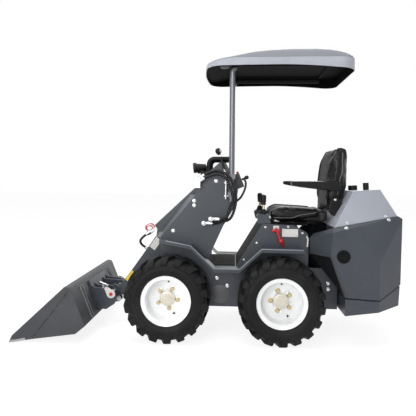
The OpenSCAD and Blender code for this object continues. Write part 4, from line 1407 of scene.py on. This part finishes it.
@dataclass
class Seat:
    """The seat: stuffed cushion, back and arms with piping, hinge covers and controls."""

    bench: Bench
    voxel: float = 0.006
    pressure: float = 3.0
    stretch: float = 40.0
    bending: float = 8.0
    frames: int = 20
    piping: float = 0.0034
    # stuffed nodes, how far their skin may move in metres, and smoothing passes of each skin
    stuffed: tuple[tuple[str, float, int], ...] = (("seat_cushion", 0.012, 7), ("seat_back", 0.012, 7),
                                                   ("armrests", 0.006, 2))
    # sat-in cushion: height above which it is flattened, and the share of its height that stays
    cushion_press: Flat = (0.83, 0.64)
    # leant-on back: X about which it is flattened, share that stays, height of its foot and its stretch
    back_press: tuple[float, ...] = (-0.972, 0.62, 1.01, 0.34)
    # lines of the left piping and seams: distance out, then X and height
    cushion_piping: Line = ((-0.462, 0.836), (-0.56, 0.843), (-0.66, 0.860), (-0.768, 0.880))
    back_piping: Line = ((-0.905, 1.010), (-0.918, 1.10), (-0.930, 1.21), (-0.936, 1.305))
    piping_out: float = 0.226
    cushion_seam: Line = ((-0.455, 0.893), (-0.50, 0.903), (-0.63, 0.897), (-0.76, 0.890))
    back_seam: Line = ((-0.848, 0.985), (-0.848, 1.10), (-0.874, 1.27), (-0.905, 1.330))
    seam_out: float = 0.168
    # hinge cover: centre in X and Z, radius of its foot, corners of its top, and reach in Y
    hinge_at: Flat = (-0.895, 0.900)
    hinge_radius: float = 0.046
    hinge_top: Line = ((-0.852, 0.930), (-0.868, 0.985), (-0.905, 0.992), (-0.934, 0.965))
    hinge_span: Flat = (0.222, 0.244)
    # hinge bolt: place of the left one, then size over its flats, height and washer radius
    hinge_bolt_at: Point = (-0.889, 0.2435, 0.972)
    hinge_bolt: Point = (0.013, 0.005, 0.009)
    # slide rails: distance out, half width, then X and height of two opposite corners
    rail_out: float = 0.165
    rail_half: float = 0.018
    rail: tuple[Flat, Flat] = ((-0.80, 0.806), (-0.47, 0.822))
    # joysticks: foot of the left one, then heights and profiles of its rod and grip
    stick_foot: Point = (-0.386, 0.226, 0.864)
    rod_z: float = 0.8975
    rod: Line = ((0.0088, 0.0), (0.0088, 0.034))
    grip_z: float = 0.929
    grip: Line = ((0.0165, 0.0), (0.0195, 0.003), (0.0172, 0.012), (0.0185, 0.022), (0.0205, 0.030),
                  (0.0192, 0.038), (0.0205, 0.046), (0.0205, 0.060), (0.0170, 0.069), (0.009, 0.0725))

    def skin(self, node: str, passes: int) -> Thing:
        """An evenly meshed copy of a node with softened corners.

        Args:
            node: The node to copy.
            passes: Smoothing passes.

        Returns:
            The copy.
        """
        thing = bpy.data.objects.new("soft_" + node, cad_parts[node].data.copy())
        bpy.context.scene.collection.objects.link(thing)
        even = thing.modifiers.new("even", "REMESH")
        even.mode = "VOXEL"
        even.voxel_size = self.voxel
        self.smooth(thing, passes)
        for vertex in thing.data.vertices:
            vertex.co = self.pressed(node, vertex.co)
        return thing

    def pressed(self, node: str, at: Vector) -> Vector:
        """Where a point of a worn, sat-in skin lies.

        Args:
            node: The node of the skin.
            at: The point on the node.

        Returns:
            The point on the flattened skin.
        """
        x, y, z = at
        level, share = self.cushion_press
        if node == "seat_cushion" and z > level:
            z = level + share * (z - level)
        if node == "seat_back":
            middle, share, foot, pull = self.back_press
            x = middle + share * (x - middle)
            z -= pull * max(0.0, foot - z)
        return Vector((x, y, z))

    def smooth(self, thing: Thing, passes: int) -> None:
        """Evens out a skin after what its modifiers did, and keeps the result."""
        calm = thing.modifiers.new("calm", "SMOOTH")
        calm.factor = 0.5
        calm.iterations = passes
        self.freeze(thing)

    @staticmethod
    def freeze(thing: Thing) -> None:
        """Takes the modified shape as the object's own and drops its modifiers."""
        ready = thing.evaluated_get(bpy.context.evaluated_depsgraph_get())
        data = bpy.data.meshes.new_from_object(ready)
        old = thing.data
        thing.modifiers.clear()
        thing.data = data
        bpy.data.meshes.remove(old)

    def inflate(self, thing: Thing, reach: float) -> None:
        """Blows a skin up as cloth, within a small distance of where it was.

        Args:
            thing: The skin.
            reach: The furthest that a point may move in metres.
        """
        rest = [v.co.copy() for v in thing.data.vertices]
        cloth = thing.modifiers.new("stuffing", "CLOTH").settings
        cloth.use_pressure = True
        cloth.uniform_pressure_force = self.pressure
        cloth.effector_weights.gravity = 0.0
        cloth.quality = 4
        cloth.tension_stiffness = cloth.compression_stiffness = self.stretch
        cloth.bending_stiffness = self.bending
        scene = bpy.context.scene
        thing.modifiers["stuffing"].point_cache.frame_end = self.frames
        for number in range(1, self.frames + 1):
            scene.frame_set(number)
        self.freeze(thing)
        scene.frame_set(1)
        drift = sum((v.co - p for v, p in zip(thing.data.vertices, rest)), Vector()) / len(rest)
        for vertex, start in zip(thing.data.vertices, rest):
            move = vertex.co - drift - start
            vertex.co = start + move * min(1.0, reach / max(move.length, 1e-9))

    def stuff(self, node: str, reach: float, passes: int) -> Thing:
        """Makes the stuffed piece that stands for a node.

        Args:
            node: The node.
            reach: The furthest that a point of its skin may move in metres.
            passes: Smoothing passes of the skin.

        Returns:
            The stuffed piece.
        """
        thing = self.skin(node, passes)
        self.inflate(thing, reach)
        self.smooth(thing, 3 + passes)
        for face in thing.data.polygons:
            face.use_smooth = True
        thing.data.materials.clear()
        thing.data.materials.append(Finishes.VINYL.material())
        fine = thing.modifiers.new("fine", "SUBSURF")
        fine.levels = fine.render_levels = 1
        self.bench.settle(thing, "chassis", [node])
        return thing

    def pipe(self, name: str, thing: Thing, y: float, line: Sequence[Flat], finish: Finish) -> None:
        """Sews a cord on a stuffed piece.

        Args:
            name: Name of the cord.
            thing: The stuffed piece.
            y: The cord's place along Y.
            line: X and height of points near to the skin that the cord passes.
            finish: The cord's finish.
        """
        tree = BVHTree.FromPolygons([v.co for v in thing.data.vertices],
                                    [f.vertices[:] for f in thing.data.polygons])
        laid = []
        for point in Shapes.smooth_path([(x, y, z) for x, z in line], 12):
            at, normal, _, _ = tree.find_nearest(point)
            laid.append(at + 0.4 * self.piping * normal)
        for _ in range(3):
            evened = [(a + 2 * b + c) / 4 for a, b, c in zip(laid, laid[1:], laid[2:])]
            laid = [laid[0]] + evened + [laid[-1]]
        self.bench.piece(name, Shapes.tube(laid, self.piping, 10), finish)

    def covers(self) -> None:
        """Hinge covers, slide rails and their bolts."""
        x, z = self.hinge_at
        turns = [math.radians(a) for a in range(180, 361, 15)]
        arc = [(x + self.hinge_radius * math.cos(t), z + self.hinge_radius * math.sin(t)) for t in turns]
        cover = Shapes.mirrored(Shapes.prism([*arc, *self.hinge_top], *self.hinge_span))
        self.bench.piece("hinge_covers", cover, Finishes.PLASTIC, bevel=0.006)
        x, y, z = self.hinge_bolt_at
        places = [(Vector((x, s.value * y, z)), Vector((0, s.value, 0))) for s in Side]
        self.bench.copies("hinge_bolts", hex_head(*self.hinge_bolt), places, Finishes.ZINC)
        (rear, low), (front, high) = self.rail
        rails = [Shapes.box((rear, s.value * self.rail_out - self.rail_half, low),
                            (front, s.value * self.rail_out + self.rail_half, high)) for s in Side]
        self.bench.piece("seat_rails", Shapes.joined(*rails), Finishes.STEEL, bevel=0.001)

    def sticks(self) -> None:
        """Bellows, bright rods and grips of the two joysticks."""
        x, y, z = self.stick_foot
        folds = [(0.0270 - 0.0115 * k / 9 + (0.0022 if k % 2 else -0.0012), 0.003 + 0.0035 * k)
                 for k in range(10)]
        boot = [(0.030, -0.001), (0.030, 0.002), *folds]
        rows = (("boots", z, boot, 28, Finishes.MAT), ("rods", self.rod_z, self.rod, 20, Finishes.BRASS),
                ("grips", self.grip_z, self.grip, 28, Finishes.PLASTIC))
        for name, foot, profile, sides, finish in rows:
            shape = Shapes.mirrored(Shapes.turned((x, y, foot), (x, y, 2.0), profile, sides))
            self.bench.piece("stick_" + name, shape, finish)

    def build(self) -> None:
        """Seat and sticks."""
        made = {node: self.stuff(node, reach, passes) for node, reach, passes in self.stuffed}
        rows = (("cushion_piping", self.piping_out, self.cushion_piping, Finishes.PIPING),
                ("back_piping", self.piping_out, self.back_piping, Finishes.PIPING),
                ("back_seam", self.seam_out, self.back_seam, Finishes.VINYL),
                ("cushion_seam", self.seam_out, self.cushion_seam, Finishes.VINYL))
        for side in Side:
            for name, out, line, finish in rows:
                thing = made["seat_" + name.split("_")[0]]
                self.pipe(f"{name}_{side.name.lower()}", thing, side.value * out, line, finish)
        self.covers()
        self.sticks()


@dataclass
class SideControls:
    """Red lever, blank plates and screws on the seat box, and the housing's cap and bolts."""

    bench: Bench
    face: float = 0.262
    # stop lever's plate: X and height of two corners, and its lower and upper face from the seat box
    lever_plate: tuple[Flat, Flat] = ((-0.496, 0.745), (-0.454, 0.784))
    lever_plate_span: Flat = (-0.001, 0.003)
    # stop lever: hub's place and profile, then points (X, distance out, height) of its arm, bar and grip
    lever_hub_at: Flat = (-0.477, 0.756)
    lever_hub: Line = ((0.013, 0.0), (0.013, 0.016), (0.010, 0.020))
    lever_arm: Route = ((-0.477, 0.014, 0.756), (-0.486, 0.016, 0.728), (-0.496, 0.016, 0.700),
                        (-0.505, 0.015, 0.678))
    lever_bar: Route = ((-0.444, 0.014, 0.748), (-0.470, 0.015, 0.752), (-0.500, 0.015, 0.742))
    lever_bar_radius: float = 0.0088
    lever_grip_line: tuple[Point, Point] = ((-0.503, 0.015, 0.690), (-0.526, 0.013, 0.638))
    lever_grip: Line = ((0.009, 0.0), (0.0165, 0.006), (0.0175, 0.016), (0.0135, 0.030), (0.0085, 0.036),
                        (0.0075, 0.054), (0.005, 0.057))
    # blank plate of the seat box, its edge strip's outline and its screws: X, height
    box_plate: tuple[Flat, Flat] = ((-0.629, 0.707), (-0.517, 0.762))
    box_plate_span: Flat = (-0.001, 0.0022)
    strip: Line = ((-0.688, 0.638), (-0.698, 0.638), (-0.703, 0.694), (-0.692, 0.716), (-0.684, 0.712),
                   (-0.692, 0.692))
    strip_span: Flat = (-0.001, 0.006)
    screws: Line = ((-0.400, 0.772), (-0.560, 0.778), (-0.660, 0.735), (-0.250, 0.540), (-0.340, 0.660),
                    (-0.622, 0.712), (-0.524, 0.757))
    # a screw's and a hood bolt's size over its flats, height and washer radius
    screw: Point = (0.0105, 0.004, 0.0075)
    hood_bolt: Point = (0.016, 0.007, 0.012)
    # round cap in the housing's side: X, height, the side's distance out, then radius and distance out
    cap_at: Flat = (-0.901, 0.605)
    house: float = 0.460
    cap: Line = ((0.0440, 0.0), (0.0440, 0.0066), (0.0415, 0.0088), (0.0335, 0.0088), (0.0322, 0.0050),
                 (0.0318, 0.0030), (0.0160, 0.0030), (0.0150, 0.0062), (0.008, 0.0070))
    # lines on the left of the hood and the housing, front and rear ends, and places of the bolts along them
    hood_foot: tuple[Point, Point] = ((-0.846, 0.424, 0.791), (-1.294, 0.318, 0.867))
    hood_top: tuple[Point, Point] = ((-0.991, 0.330, 1.037), (-1.184, 0.290, 1.049))
    shoulder: tuple[Point, Point] = ((-0.841, 0.430, 0.790), (-1.298, 0.322, 0.868))
    flank: tuple[Point, Point] = ((-0.830, 0.460, 0.762), (-1.323, 0.330, 0.851))
    bolt_shares: Flat = (0.19, 0.82)

    def plate(self, name: str, corners: tuple[Flat, Flat], span: Flat, bevel: float) -> None:
        """A blank plate on the left of the seat box.

        Args:
            name: Its name.
            corners: X and height of two opposite corners.
            span: Its lower and upper face from the seat box's side.
            bevel: Rounding of its edges.
        """
        (x, z), (far, high) = corners
        shape = Shapes.box((x, self.face + span[0], z), (far, self.face + span[1], high))
        self.bench.piece(name, shape, Finishes.IVORY, bevel=bevel)

    def outward(self, points: Sequence[Point]) -> list[Vector]:
        """Points given by their distance out from the seat box's side."""
        return [Vector((x, self.face + out, z)) for x, out, z in points]

    def red_lever(self) -> None:
        """The red stop lever with its white plate."""
        self.plate("lever_plate", self.lever_plate, self.lever_plate_span, 0.0012)
        x, z = self.lever_hub_at
        hub = Shapes.turned((x, self.face + 0.002, z), (x, 1, z), self.lever_hub)
        path = Shapes.smooth_path(self.outward(self.lever_arm), 8)
        arm = Shapes.tube(path, lambda t: 0.0085 + 0.002 * t, 14)
        bar = Shapes.tube(Shapes.smooth_path(self.outward(self.lever_bar), 8), self.lever_bar_radius, 14)
        grip = Shapes.turned(*self.outward(self.lever_grip_line), self.lever_grip)
        self.bench.piece("stop_lever", Shapes.joined(hub, arm, bar, grip), Finishes.RED, angle=50)

    def plates(self) -> None:
        """White blank plate, edge strips and screws of the seat box."""
        self.plate("seat_box_plate", self.box_plate, self.box_plate_span, 0.0008)
        strip = Shapes.mirrored(Shapes.prism(self.strip, *(self.face + out for out in self.strip_span)))
        self.bench.piece("seat_box_strips", strip, Finishes.ZINC, bevel=0.001)
        places = [(Vector((x, s.value * self.face, z)), Vector((0, s.value, 0)))
                  for s in Side for x, z in self.screws]
        self.bench.copies("seat_box_screws", hex_head(*self.screw), places, Finishes.ZINC)

    def rear_caps(self) -> None:
        """Round black caps in the housing's sides."""
        x, z = self.cap_at
        cap = Shapes.turned((x, self.house - 0.002, z), (x, 1, z), self.cap, 48)
        self.bench.piece("housing_caps", Shapes.mirrored(cap), Finishes.DARK)

    def hood_bolts(self) -> None:
        """Pairs of bolts that hold the hood to the housing's shoulder."""
        places = []
        along = Vector(self.hood_foot[0]) - Vector(self.hood_foot[1])
        for share in self.bolt_shares:
            foot, top, high, low = (Vector(front).lerp(Vector(rear), share) for front, rear in
                                    (self.hood_foot, self.hood_top, self.shoulder, self.flank))
            places.append((foot.lerp(top, 0.07), along.cross(top - foot).normalized()))
            places.append((high.lerp(low, 0.55), along.cross(high - low).normalized()))
        both = [(p, n if n.y > 0 else -n) for p, n in places]
        both += [(Vector((p.x, -p.y, p.z)), Vector((n.x, -n.y, n.z))) for p, n in both]
        self.bench.copies("hood_bolts", hex_head(*self.hood_bolt), both, Finishes.ZINC)

    def build(self) -> None:
        """Everything on the flanks."""
        for step in (self.red_lever, self.plates, self.rear_caps, self.hood_bolts):
            step()


@dataclass
class Canopy:
    """The canopy's moulded shell, its lining, a ridge and a small lamp."""

    bench: Bench
    front: float = 0.046
    rear: float = -1.004
    half: float = 0.380
    corner: float = 0.105
    bow: float = 0.036
    wall: float = 0.008
    arch: float = 0.127
    lining: float = 1.945
    # places along the shell: X, then heights of its rim, crease and crown
    stations: tuple[tuple[float, ...], ...] = (
        (0.046, 1.888, 1.913, 1.922), (-0.14, 1.893, 1.948, 1.966), (-0.34, 1.896, 1.951, 2.029),
        (-0.55, 1.897, 1.953, 2.070), (-0.74, 1.889, 1.954, 2.079), (-0.90, 1.877, 1.954, 2.063),
        (-1.004, 1.870, 1.953, 2.006))
    lines: list[list[Vector]] = field(default_factory=list)
    # shrinking rings of the crown, as shares of its outline
    shares: tuple[float, ...] = (0.992, 0.975, 0.95, 0.91, 0.85, 0.76, 0.64, 0.48, 0.30, 0.12)
    # ridge in the lining: middle in X, half length, half width, corner, then its section (out, up)
    ridge_x: float = -0.50
    ridge_half: Flat = (0.36, 0.27)
    ridge_corner: float = 0.07
    ridge_section: Line = ((-0.022, 0.006), (-0.015, -0.010), (0.015, -0.010), (0.022, 0.006))
    # cab lamp: X and Y, then distance below the lining and profile of its base and glass
    lamp_at: Flat = (-0.10, 0.215)
    lamp_low: Flat = (0.010, 0.023)
    lamp_base: Line = ((0.038, 0.0), (0.038, 0.010), (0.034, 0.014))
    lamp_glass: Line = ((0.032, 0.0), (0.031, 0.006), (0.024, 0.012), (0.012, 0.015))

    def heights(self, x: float) -> Vector:
        """Heights of rim, crease and crown at a place along the canopy."""
        if not self.lines:
            for column in (1, 2, 3):
                stops = [(row[0], 0.0, row[column]) for row in self.stations]
                self.lines.append(Shapes.smooth_path(stops, 24))
        found = []
        for line in self.lines:
            after = next((i for i, p in enumerate(line) if p.x <= x), len(line) - 1)
            start, end = line[max(after - 1, 0)], line[after]
            share = (start.x - x) / max(start.x - end.x, 1e-9)
            found.append(start.lerp(end, min(1.0, max(0.0, share))).z)
        return Vector(found)

    def plan(self, inset: float) -> list[Flat]:
        """Outline of the shell from above.

        Args:
            inset: Distance inside its outer face in metres.

        Returns:
            Points round it, with a bowed front.
        """
        half, corner = self.half - inset, self.corner - inset
        middle, reach = (self.front + self.rear) / 2, (self.front - self.rear) / 2 - inset
        arcs = []
        for sx, sy, start in ((1, 1, 0), (-1, 1, 90), (-1, -1, 180), (1, -1, 270)):
            turns = [math.radians(start + 9 * k) for k in range(11)]
            arcs.append([(sx * (reach - corner) + corner * math.cos(t),
                          sy * (half - corner) + corner * math.sin(t)) for t in turns])
        line = []
        for i, arc in enumerate(arcs):
            after, steps = arcs[(i + 1) % 4][0], 12 if i % 2 else 18
            line += arc + [Vector(arc[-1]).lerp(Vector(after), k / steps) for k in range(1, steps)]
        return [(middle + x - self.bow * max(0.0, x / reach) ** 2 * (y / half) ** 2, y) for x, y in line]

    def crown(self, outline: Sequence[Flat], share: float, drop: float, top: float = 9.0) -> list[Point]:
        """One ring of the crown.

        Args:
            outline: The outline that it shrinks from.
            share: Its size as a share of the outline.
            drop: Distance below the outer face.
            top: The greatest height.

        Returns:
            The ring's points.
        """
        middle = (self.front + self.rear) / 2
        ring = []
        for x, y in outline:
            at = middle + share * (x - middle)
            crease, high = self.heights(x).y, self.heights(at).z
            along = max(1e-4, high - crease)
            across = max(1e-4, self.arch * (1 - (share * abs(y) / self.half) ** 2.2) ** 0.75)
            rise = (along ** -6 + across ** -6) ** (-1 / 6) * (1 - share ** 6) ** 0.5
            ring.append((at, share * y, min(top, crease + rise - drop)))
        return ring

    def shell(self) -> None:
        """The shell: rim, band, a crease and the crown over them, with a black lining below, partly painted
        shade.
        """
        outer, half_in, inner, step = (self.plan(d) for d in (0.0, 0.5 * self.wall, self.wall, 0.004))
        rim = [[(x, y, self.heights(x).x) for x, y in line] for line in (half_in, outer)]
        band = [[(x, y, self.heights(x).y + z) for x, y in line]
                for line, z in ((outer, -0.006), (self.plan(0.0012), -0.0015), (step, 0.0))]
        inside = [self.crown(half_in, share, 0.5 * self.wall, self.lining + 0.006)
                  for share in (*reversed(self.shares), 1.0)]
        rings = inside + rim + band + [self.crown(step, share, 0.0) for share in self.shares]
        # the shell's colour by slope is painted light on the band and painted shade on the crown
        self.bench.piece("canopy_shell", Shapes.loft(rings), Finishes.ROOF, replaces=["canopy_roof"],
                         angle=28)
        lip = [[(x, y, self.heights(x).x - 0.0003) for x, y in line] for line in (half_in, inner)]
        under = [self.crown(inner, share, self.wall, self.lining) for share in (1.0, *self.shares)]
        # the lining's near-black is partly painted shade under the roof
        self.bench.piece("canopy_lining_shell", Shapes.loft(inside + lip + under), Finishes.ROOF_UNDER,
                         replaces=["canopy_lining"])

    def ridge(self) -> None:
        """A rounded frame moulded in the lining."""
        corner = self.ridge_corner
        a, b = (half - corner for half in self.ridge_half)
        line = []
        for cx, cy, start in ((a, b, 0), (-a, b, 90), (-a, -b, 180), (a, -b, 270)):
            for turn in (math.radians(start + 15 * k) for k in range(7)):
                line.append((self.ridge_x + cx + corner * math.cos(turn), cy + corner * math.sin(turn),
                             self.lining - 0.002))
        rings = []
        for i, at in enumerate(line):
            ahead = (Vector(line[(i + 1) % len(line)]) - Vector(line[i - 1])).normalized()
            out = ahead.cross(Vector((0, 0, 1)))
            rings.append([Vector(at) + out * x + Vector((0, 0, z)) for x, z in self.ridge_section])
        ridge = Shapes.loft(rings, caps=False, loop=True)
        # the ridge takes the lining's near-black, partly painted shade
        self.bench.piece("lining_ridge", ridge, Finishes.ROOF_UNDER, bevel=0.003)

    def dome(self) -> None:
        """The cab lamp under the lining."""
        x, y = self.lamp_at
        rows = (("base", self.lamp_low[0], self.lamp_base, Finishes.PLASTIC),
                ("glass", self.lamp_low[1], self.lamp_glass, Finishes.MARK))
        for name, low, profile, finish in rows:
            shape = Shapes.turned((x, y, self.lining - low), (x, y, 0), profile)
            self.bench.piece("cab_lamp_" + name, shape, finish)

    def build(self) -> None:
        """Canopy finishes and fittings."""
        for step in (self.shell, self.ridge, self.dome):
            step()


@dataclass
class Studio:
    """Floor, backdrop light and the camera."""

    scene: bpy.types.Scene = field(default_factory=lambda: bpy.context.scene)
    sky_level: float = 0.42
    floor_reach: float = 30.0
    floor_colour: Colour = (0.86, 0.86, 0.86)
    floor_glow: float = 1.2
    # share of the glow where the floor is seen, which keeps the rest for the shadow
    glow_share: float = 0.72
    # soft boxes: name, place, aim, side in metres, watts
    lamps: tuple[tuple[str, Point, Point, float, float], ...] = (
        ("overhead", (0.6, 1.0, 7.0), (-0.1, 0, 0.6), 5.0, 320),
        ("front_fill", (1.8, 5.4, 2.4), (0, 0, 0.7), 3.0, 150),
        ("back_rim", (-2.0, -4.2, 3.2), (-0.2, 0, 0.8), 2.4, 70))
    # the photograph's view: level, 3.6 m from the middle plane, turned a little to the front, in degrees
    eye: Point = (-0.172, 3.586, 1.107)
    yaw: float = 3.45
    roll: float = 0.6
    lens: float = 40.42
    sensor: float = 36.0
    shift: Flat = (0.006, -0.069)

    @staticmethod
    def seen(tree: bpy.types.NodeTree) -> bpy.types.NodeSocket:
        """1 for the camera, through glass and in reflections, 0 for the light on the object."""
        path = tree.nodes.new("ShaderNodeLightPath")
        result = path.outputs["Is Camera Ray"]
        for ray in ("Is Transmission Ray", "Is Glossy Ray"):
            most = tree.nodes.new("ShaderNodeMath")
            most.operation = "MAXIMUM"
            tree.links.new(result, most.inputs[0])
            tree.links.new(path.outputs[ray], most.inputs[1])
            result = most.outputs[0]
        return result

    def sky(self) -> None:
        """White for the camera and for reflections, soft light for the rest."""
        world = bpy.data.worlds.new("studio")
        world.use_nodes = True
        self.scene.world = world
        tree = world.node_tree
        level = tree.nodes.new("ShaderNodeMapRange")
        level.inputs["To Min"].default_value = self.sky_level
        level.inputs["To Max"].default_value = 1.0
        tree.links.new(self.seen(tree), level.inputs["Value"])
        tree.links.new(level.outputs[0], tree.nodes["Background"].inputs["Strength"])
        tree.nodes["Background"].inputs["Color"].default_value = (1, 1, 1, 1)

    def floor(self) -> None:
        """A pale floor that reads white and keeps a soft shadow."""
        mesh = bpy.data.meshes.new("floor")
        reach = self.floor_reach
        corners = [(-reach, -reach, 0), (reach, -reach, 0), (reach, reach, 0), (-reach, reach, 0)]
        mesh.from_pydata(corners, [], [(0, 1, 2, 3)])
        thing = bpy.data.objects.new("floor", mesh)
        self.scene.collection.objects.link(thing)
        material = bpy.data.materials.new("pale_floor")
        material.use_nodes = True
        tree = material.node_tree
        matt = tree.nodes["Principled BSDF"]
        matt.inputs["Base Color"].default_value = (*self.floor_colour, 1)
        matt.inputs["Roughness"].default_value = 0.9
        glow = tree.nodes.new("ShaderNodeEmission")
        glow.inputs["Strength"].default_value = self.floor_glow
        share = tree.nodes.new("ShaderNodeMath")
        share.operation = "MULTIPLY"
        share.inputs[1].default_value = self.glow_share
        mix = tree.nodes.new("ShaderNodeMixShader")
        link = tree.links.new
        link(self.seen(tree), share.inputs[0])
        link(share.outputs[0], mix.inputs[0])
        link(matt.outputs[0], mix.inputs[1])
        link(glow.outputs[0], mix.inputs[2])
        link(mix.outputs[0], tree.nodes["Material Output"].inputs[0])
        mesh.materials.append(material)

    def lamp(self, name: str, at: Point, aim: Point, size: float, power: float) -> None:
        """A square soft box.

        Args:
            name: Its name.
            at: Where it hangs.
            aim: Where it points.
            size: Its side in metres.
            power: Watts.
        """
        data = bpy.data.lights.new(name, "AREA")
        data.size = size
        data.energy = power
        thing = bpy.data.objects.new(name, data)
        thing.location = at
        thing.rotation_euler = (Vector(aim) - Vector(at)).to_track_quat("-Z", "Y").to_euler()
        self.scene.collection.objects.link(thing)

    def camera(self) -> None:
        """The camera at the photograph's view."""
        data = bpy.data.cameras.new("view")
        data.sensor_width = self.sensor
        data.lens = self.lens
        data.shift_x, data.shift_y = self.shift
        thing = bpy.data.objects.new("view", data)
        yaw, roll = math.radians(self.yaw), math.radians(self.roll)
        ahead = Vector((math.sin(yaw), -math.cos(yaw), 0))
        facing = ahead.to_track_quat("-Z", "Y").to_matrix().to_4x4()
        thing.matrix_world = Matrix.Translation(self.eye) @ facing @ Matrix.Rotation(roll, 4, "Z")
        self.scene.collection.objects.link(thing)
        self.scene.camera = thing

    def build(self) -> None:
        """Sets up the whole studio."""
        self.scene.view_settings.view_transform = "Standard"
        self.sky()
        self.floor()
        for row in self.lamps:
            self.lamp(*row)
        self.camera()


def main() -> None:
    """Builds every sub-assembly in order."""
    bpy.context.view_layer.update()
    Studio().build()
    bench = Bench()
    for part in (Wheels, Bodywork, TowerGear, BoomGear, Seat, SideControls, Canopy):
        part(bench).build()
    log.info("%d pieces", bench.count)


if __name__ == "__main__":
    logging.basicConfig(level=logging.INFO, format="%(name)s: %(message)s")
    main()
